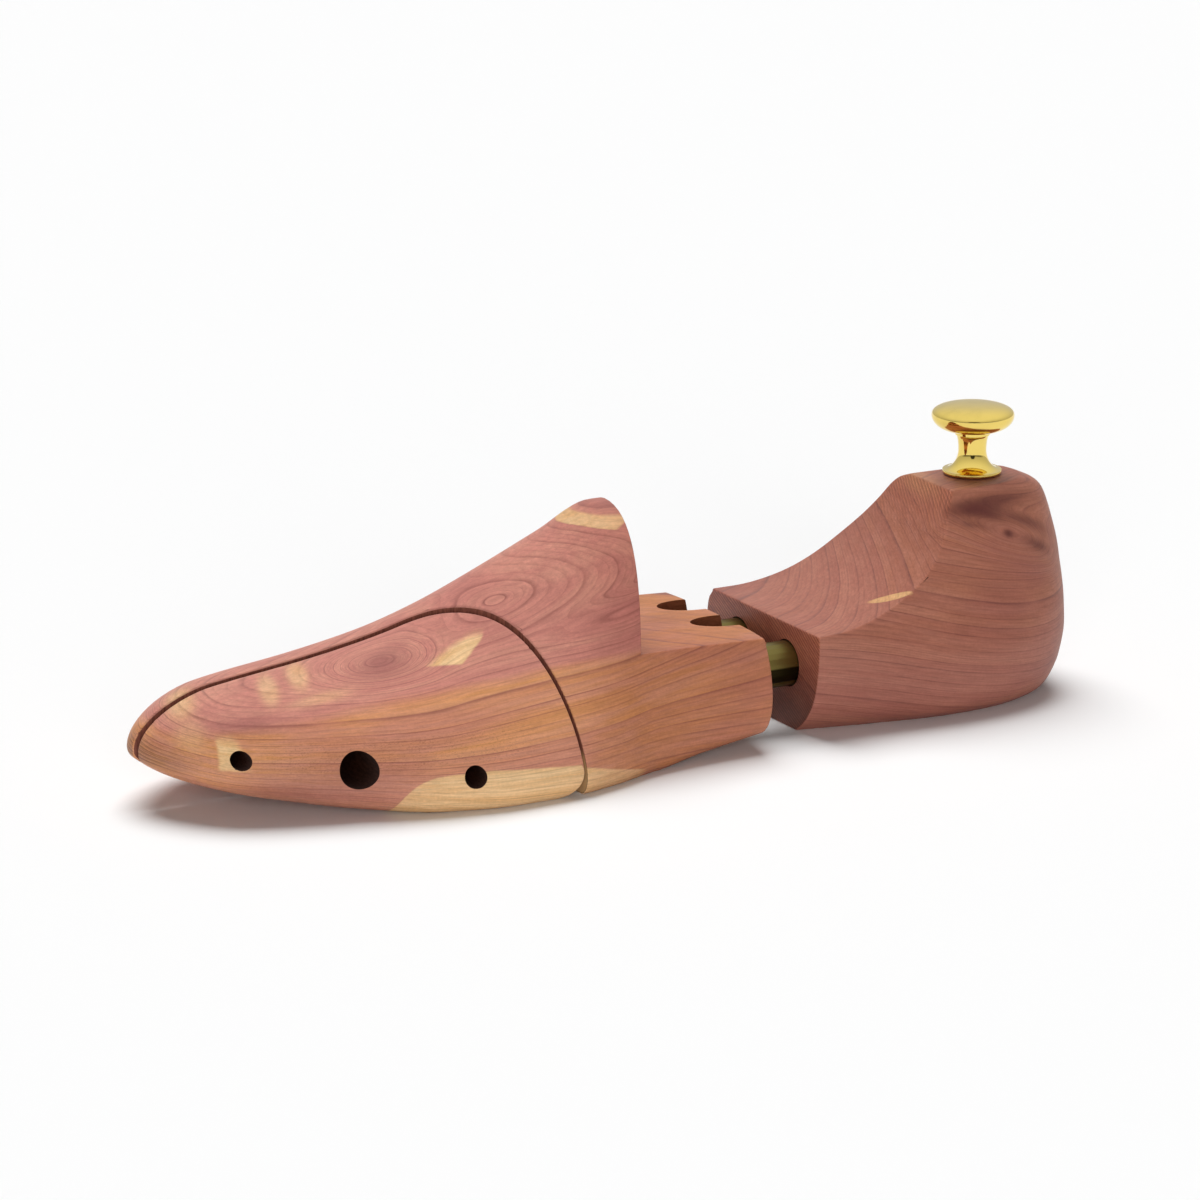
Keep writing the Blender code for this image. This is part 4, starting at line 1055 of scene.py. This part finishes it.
# Pale patches: the planes (normal, level, softness) that bound each
FORE_PATCHES = [
    [((0.03, 0, 1), 32.1, 0.25), ((-0.483, 0, 0.876), 56.5, 0.3), ((-0.682, 0, 0.731), 60.5, 0.3),
     ((0.3406, 0, -0.940), -54.02, 0.7), ((0, 0, -1), -39.3, 1.8)],
    [((1, 0, -0.09), -127.2, 0.5), ((-1, 0.2, -0.35), 109.0, 1.4), ((0, 0, -1), -22.5, 1.5),
     ((0, 0, 1), 15.0, 0.8)],
]
# Pale layers of the growth: the rings (first, last, softness), their planes and their strength
FORE_LAYERS = [
    (13.14, 13.62, 0.05, [((-0.347, 0, 0.938), 60.4, 0.3), ((1, 0, 0), -29.0, 3.0)], 0.95),
]
# Pale glows: centre, direction, long and short size, strength, and the bell's range
FORE_GLOWS = [
    ((-97, -7, 33), (0.3, 1, 0.2), 5.5, 2.1, 0.6, 0.05, 0.9),
    ((-106.5, -9.5, 31), (0.3, 1, 0.2), 6.0, 2.0, 0.55, 0.05, 0.9),
    ((-127, 0, 27.3), (0.3, 1, 0.3), 6.0, 3.0, 0.7, 0.0, 1.0),
    ((-129.7, -11.3, 23), (0.2, 1, 0.1), 5.0, 3.0, 0.35, 0.0, 1.0),
    ((-96, -18.3, 29.6), (1, -0.05, 0.13), 7.0, 1.6, 0.35, 0.0, 1.0),
]
# The heel's second glow is painted light: it lightens the plateau in front of the knob, where the knob's
# shadow falls
HEEL_GLOWS_AND_PAINTED_LIGHT = [
    ((75.5, -20.7, 34.4), (0.623, -0.722, 0.304), 5.6, 1.35, 0.95, 0.42, 0.6),
    ((99, 2, 59.5), (0.2, 1, 0), 9.0, 3.2, 0.3, 0.0, 1.0),
]
# Planes that bound the specks low on the forepart's side
FORE_SPECKLE = [((0, 0, 1), 13.0, 1.5), ((0, 0, -1), -21.0, 1.5), ((1, 0, 0), -115.0, 8.0),
                ((-1, 0, 0), 45.0, 8.0)]
# Dark places: centre, direction, long and short size, and strength
FORE_DARKS = [
    ((-75.5, -14, 33.6), (1, 0, 0.1), 5.5, 3.6, 0.6),
    ((-71, -10, 37), (1, 0.3, 0.3), 4.0, 2.2, 0.3),
    ((-117.6, -18.2, 25.2), (1, -0.4, 0.1), 7.0, 2.6, 0.45),
    ((-112, -26, 9.5), (1, -0.4, -0.1), 9.0, 3.0, 0.45),
    ((-96, -33, 9), (1, -0.3, 0), 12.0, 4.5, 0.42),
    ((-133, -10.7, 14), (1, -0.5, 0), 6.0, 3.0, 0.2),
    ((15, -1, 31), (1, 0.5, 0), 7.0, 4.0, 0.3),
]
HEEL_DARKS = [
    ((105, -16.2, 54.6), (1, 0, -0.05), 7.0, 1.9, 1.0),
    ((114, -15.2, 56), (1, 0.1, 0), 8.0, 1.4, 0.75),
    ((108.5, -17, 53.2), (1, -0.05, -0.4), 4.5, 1.1, 0.85),
    ((121, -17, 49.5), (1, 0.1, -0.45), 7.0, 1.3, 0.7),
    ((124, -19.3, 42.8), (1, 0.1, -0.45), 4.0, 1.3, 0.75),
    ((104, -18.6, 50.5), (1, 0, -0.35), 6.0, 0.9, 0.55),
    ((114, -19.8, 47.4), (1, 0, -0.2), 1.2, 0.9, 0.95),
]

# The pale strip along the forepart's bottom edge, in mm, and how its top falls from the crest
SAPWOOD_TOP = 11.0
SAPWOOD_CREST = -58.0
SAPWOOD_TAIL = -30.0
SAPWOOD_TOE_RUN = -0.04
SAPWOOD_TOE_POWER = 6.0
SAPWOOD_TOE_DROP = 7.8
SAPWOOD_REAR_SLOPE = 0.085
SAPWOOD_TAIL_SLOPE = 0.17
SAPWOOD_SEAM = (-32.6, -32.0, 0.0, 0.8)
SAPWOOD_END = (-12.0, -8.0, 1.0, 0.0)
SAPWOOD_WAVER = 0.4
SAPWOOD_EDGE = (-0.3, 0.3)

# Where the forepart and the heel are orange, in mm
BAND_SLANT = (-0.077, 0.0, 1.0)
BAND_TOP = (32.0, 35.0, 1.0, 0.0)
BAND_FOOT = (13.0, 24.0, 0.35, 1.0)
BAND_TAIL = (-45.0, -15.0)
HEEL_STREAK_RUN = (0.004, -0.03, 0.09)
HEEL_STREAK_RANGE = (-0.6, 1.0, 0.1, 0.75)


def swollen(field, place, knots):
    """A growth field that swells round its knots."""
    for amount, knot in knots:
        field = field + bell(place, *knot) * amount
    return field


def fore_growth(place):
    """Growth layers of the forepart's log: a fan from the toe, ovals on the instep, a knot on the side."""
    height = place.dot(FAN_SLANT)
    x = place.dot(X_AXIS)
    level = height + (height - FAN_HEIGHT) * (x - FAN_START) * (-1 / FAN_LENGTH)
    offset = place - NEST_CENTRE
    run = offset.dot(NEST_FORWARD) / NEST_STRETCH
    rise = offset.dot(NEST_UP)
    nested = NEST_PEAK - (run * run + rise * rise + NEST_BLUNTNESS).math("SQRT")
    share = rise.span(*NEST_RISE_RANGE) * x.span(*NEST_X_RANGE)
    return swollen(level + share * (nested - level), place, FORE_KNOTS)


def heel_growth(place):
    """Growth layers of the heel's log, which lean across it and swell round knots."""
    return swollen(place.dot(HEEL_SLANT), place, HEEL_KNOTS)


def fore_band(place, slow):
    """How orange the forepart is: a band low on its side, and the tail."""
    level = place.dot(BAND_SLANT) + (slow - 0.5) * 4.0
    tail = place.dot(X_AXIS).span(*BAND_TAIL)
    return level.span(*BAND_TOP) * level.span(*BAND_FOOT).math("MAXIMUM", tail)


def heel_band(place, slow):
    """How orange the heel is, in broad streaks along it."""
    return (place.dot(HEEL_STREAK_RUN) + slow * 6.0).math("SINE").span(*HEEL_STREAK_RANGE)


def fore_sapwood(place, wobble):
    """The pale strip along the bottom edge: its top falls steeply to the toe and slowly to the tail."""
    x = place.dot(X_AXIS)
    from_crest = x - SAPWOOD_CREST
    toward_toe = (from_crest * SAPWOOD_TOE_RUN).math("MAXIMUM", 0.0)
    toward_tail = from_crest.math("MAXIMUM", 0.0)
    on_tail = (x - SAPWOOD_TAIL).math("MAXIMUM", 0.0)
    drop = toward_toe ** SAPWOOD_TOE_POWER * SAPWOOD_TOE_DROP + toward_tail * SAPWOOD_REAR_SLOPE
    drop = drop + on_tail * SAPWOOD_TAIL_SLOPE + x.span(*SAPWOOD_SEAM)
    reach = SAPWOOD_TOP - drop - place.dot(Z_AXIS) + wobble * SAPWOOD_WAVER
    return reach.span(*SAPWOOD_EDGE) * x.span(*SAPWOOD_END)


# Heights in mm where sawn wood is as pale as the sapwood it cuts, and where along X
SAWN_PALE_HEIGHTS = (9.0, 13.0, 1.0, 0.0)
SAWN_PALE_START = (-75.0, -60.0)

# Painted reflections as dark bands, tarnish and wear of metal, and the marks that tools leave in wood
PAINTED_REFLECTION_COLOUR = (0.006, 0.004, 0.002, 1)
PAINTED_REFLECTION_SOFTNESS = 0.3
TARNISH = 0.75
TARNISH_RANGE = (0.45, 0.8, 0.0, 0.5)
WEAR_RANGE = (0.4, 0.8)
METAL_BUMP = (0.02, 0.00002)
TOOL_MARKS = (0.3, 0.7)
TOOL_ROUGHNESS = (0.7, 0.85)
TOOL_BUMP = 0.4


def metal(name, colour, roughness, streaks, streak_scale, wear, painted_reflections=()):
    """Metal with fine streaks, a little tarnish, and dark bands of painted reflection given as (low, high,
    strength) by height.
    """
    tree = new_material(name)
    place = tree.millimetres()
    drawn = (place * streaks).noise(streak_scale, 3.0, 0.6)
    cloud = place.noise(0.12, 3.0, 0.55)
    shade = tree.mix(cloud.span(*TARNISH_RANGE), colour, darker(colour, TARNISH))
    height = place.dot(Z_AXIS)
    # Dark bands by height: painted reflections of dark surroundings
    for low, high, amount in painted_reflections:
        shade = tree.mix(height.between(low, high, PAINTED_REFLECTION_SOFTNESS) * amount, shade, PAINTED_REFLECTION_COLOUR)
    rough = drawn * wear + roughness + cloud.span(*WEAR_RANGE, 0.0, wear)
    tree.shade({"Base Color": shade, "Roughness": rough, "Metallic": 1.0})
    tree.bump(drawn, *METAL_BUMP)
    return tree.owner


def worked_wood(name, colour, shade, stretch, scale, depth, pale=None):
    """Wood that a tool has cut: fine marks in one direction, from a colour to a darker shade."""
    tree = new_material(name)
    place = tree.millimetres()
    marks = (place * stretch).noise(scale, 3.0, 0.65)
    tone = tree.mix(marks.span(*TOOL_MARKS), colour, darker(colour, shade))
    if pale:
        share = place.dot(Z_AXIS).span(*SAWN_PALE_HEIGHTS) * place.dot(X_AXIS).span(*SAWN_PALE_START)
        tone = tree.mix(share, tone, pale)
    tree.shade({"Base Color": tone, "Roughness": marks.span(*TOOL_MARKS, *TOOL_ROUGHNESS)})
    tree.bump(marks, TOOL_BUMP, depth)
    return tree.owner


def dress(piece, material):
    piece.data.materials.clear()
    piece.data.materials.append(material)


# The pieces

fore_cedar = cedar("cedar_fore", fore_growth, fore_band, FORE_TONES, (0.0, -0.2, 1.0), FORE_DARKS,
                   FORE_GLOWS, fore_sapwood, FORE_PATCHES, FORE_LAYERS, FORE_SPECKLE)
heel_cedar = cedar("cedar_heel", heel_growth, heel_band, HEEL_TONES, (0.0, -0.55, 0.85), HEEL_DARKS,
                   HEEL_GLOWS_AND_PAINTED_LIGHT)
sawn_wood = worked_wood("cedar_sawn", (0.26, 0.085, 0.055, 1), 0.5, (1.0, 1.0, 0.12), 1.6, 0.0002,
                        (0.56, 0.34, 0.16, 1))
# Near-black bored wood: painted shade that makes the holes look dark inside
bored_wood_painted_shade = worked_wood("cedar_bored_painted_shade", (0.035, 0.010, 0.005, 1), 0.5, (1.0, 0.3, 1.0), 1.4, 0.0002)
cut_wood = worked_wood("cedar_cut", (0.21, 0.066, 0.026, 1), 0.7, (0.3, 0.3, 1.0), 1.2, 0.0001)
plug_wood = worked_wood("plug_wood", (0.36, 0.20, 0.13, 1), 0.7, (0.2, 0.2, 1.0), 1.5, 0.0001)
knob_brass = metal("knob_brass", (0.86, 0.65, 0.17, 1), 0.04, (1.0, 1.0, 3.0), 1.2, 0.03)
tube_middle = TUBE_HEIGHT * 1000
# Painted reflections: dark bands along the tubes, under their middle, where they mirror the dark gap
# between the blocks
TUBE_PAINTED_REFLECTIONS = [(tube_middle - 3.6, tube_middle + 0.6, 0.92), (tube_middle - 9.0, tube_middle - 5.3, 0.7)]
tube_brass = metal("tube_brass", (0.21, 0.17, 0.05, 1), 0.36, (0.05, 2.0, 2.0), 2.0, 0.03, TUBE_PAINTED_REFLECTIONS)
steel = metal("steel", (0.55, 0.55, 0.56, 1), 0.3, (2.0, 2.0, 0.2), 2.0, 0.12)
# Near-black steel for the dowels: painted shade, so their ends look as dark as the holes they sit in
steel_painted_shade = metal("steel_painted_shade", (0.09, 0.085, 0.08, 1), 0.55, (2.0, 2.0, 0.2), 2.0, 0.12)

forepart = make_forepart()
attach(forepart, "forepart")
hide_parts("forepart_block")

toe_side = make_toe_side()
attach(toe_side, "toe_side")
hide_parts("toe_side_block")

heel = make_heel()
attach(heel, "heel")
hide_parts("heel_block")

knob = make_knob()
dress(knob, knob_brass)
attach(knob, "heel")
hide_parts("knob")

spring_start = TAIL_X - TUBE_PLUG_INSET + SEAT_GAP
spring_end = HEEL_X + HEEL_BORE_DEPTH - SEAT_GAP
for side_name, y in tube_sides():
    spring = make_spring(f"steel_spring_{side_name}", (spring_start, y, TUBE_HEIGHT), (1, 0, 0),
                         spring_end - spring_start, TUBE_SPRING_DIAMETER, TUBE_SPRING_WIRE,
                         TUBE_SPRING_CURLS)
    dress(spring, steel)
    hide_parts(f"tube_spring_{side_name}")
    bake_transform(spring)

toe_x = TOE_X + TOE_HOLE_PLACE
socket_y = MID_Y + SEAM_BEND_OFFSET + TOE_SOCKET_DEPTH - SEAT_GAP
plug_y = MID_Y + SEAM_BEND_OFFSET - TOE_PLUG_REACH + SEAT_GAP
toe_spring = make_spring("steel_spring_toe", (toe_x, socket_y, TOE_HOLE_HEIGHT), (0, -1, 0),
                         socket_y - plug_y, TOE_SPRING_DIAMETER, TOE_SPRING_WIRE, TOE_SPRING_CURLS)
dress(toe_spring, steel)
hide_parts("toe_spring")
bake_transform(toe_spring)

for name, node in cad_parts.items():
    if name.startswith("tube_plug") or name == "toe_spring_plug":
        dress(node, plug_wood)
    elif name in ("tube_outer", "tube_inner"):
        dress(node, tube_brass)
    # The dowels get the near-black steel, painted shade inside their holes
    elif name in ("dowel_front", "dowel_rear"):
        dress(node, steel_painted_shade)
    elif not node.hide_render:
        dress(node, steel)
    if not node.hide_render:
        soften(node.data, WOOD_CREASE_ANGLE)

# Camera, solved from the photograph's tubes, heel front and ground
camera_data = bpy.data.cameras.new("camera")
camera_data.lens = 165
camera_data.sensor_width = 36
camera = link("camera", camera_data)
right = Vector((0.876307, -0.481754, 0.0))
up = Vector((0.127933, 0.232709, 0.964095))
back = Vector((-0.464457, -0.844843, 0.265556))
camera_place = Vector((HEEL_X - 0.737085, MID_Y - 1.248339, TUBE_HEIGHT + 0.413677))
camera_turn = Matrix((right, up, back)).transposed().to_4x4()
camera.matrix_world = Matrix.Translation(camera_place) @ camera_turn
camera_data.clip_end = 20
bpy.context.scene.camera = camera

# Floor, which shows as the pale background and keeps the shadow
FLOOR_REACH = 6
floor_corners = [(x * FLOOR_REACH, y * FLOOR_REACH, 0) for x, y in ((-1, -1), (1, -1), (1, 1), (-1, 1))]
floor_data = bpy.data.meshes.new("floor")
floor_data.from_pydata(floor_corners, [], [(0, 1, 2, 3)])
floor = link("floor", floor_data)
floor_tree = new_material("floor")
floor_tree.shade({"Base Color": (0.93, 0.93, 0.93, 1), "Roughness": 1.0, "Specular IOR Level": 0.0})
dress(floor, floor_tree.owner)


def add_sun(name, direction, strength, angle):
    data = bpy.data.lights.new(name, "SUN")
    data.energy = strength
    data.angle = math.radians(angle)
    lamp = link(name, data)
    lamp.rotation_mode = "QUATERNION"
    lamp.rotation_quaternion = Vector(direction).to_track_quat("Z", "Y")
    lamp.visible_glossy = False


add_sun("key", (-0.42, -0.88, 0.16), 1.7, 40)
add_sun("top", (0.1, 0.4, 1.0), 3.0, 45)

# A pale studio for what the camera sees, and for shiny metal one with a darker side
CAMERA_GREY = 0.98
SOFT_SKY = 0.12
DARKNESS = 0.93
world_tree = Tree(bpy.data.worlds.new("world"))
bpy.context.scene.world = world_tree.owner
direction = world_tree.add("TexCoord", output="Generated")
height = direction.dot(Z_AXIS)
towards = direction.dot((-0.482, -0.876, 0))
dark_wall = height.span(0.0, 0.16, 1.0, 0.0) * towards.span(-0.1, 0.5)
dark_card = height.span(0.26, 0.34, 1.0, 0.0) * towards.span(0.93, 0.965)
lightness = dark_wall.math("MAXIMUM", dark_card) * -DARKNESS + 1.0
studio = height.span(0.05, 0.9, 0.6, 0.95) * lightness
soft_sky = height.span(0.0, 1.0, 0.0, SOFT_SKY, smooth=False)
plain = world_tree.add("LightPath", output="Is Camera Ray").span(0.0, 1.0, soft_sky, CAMERA_GREY)
glossy = world_tree.add("LightPath", output="Is Glossy Ray")
world_tree.shade({"Color": (1, 1, 1, 1), "Strength": studio * glossy + plain * (1.0 - glossy)})

bpy.context.scene.view_settings.view_transform = "Standard"
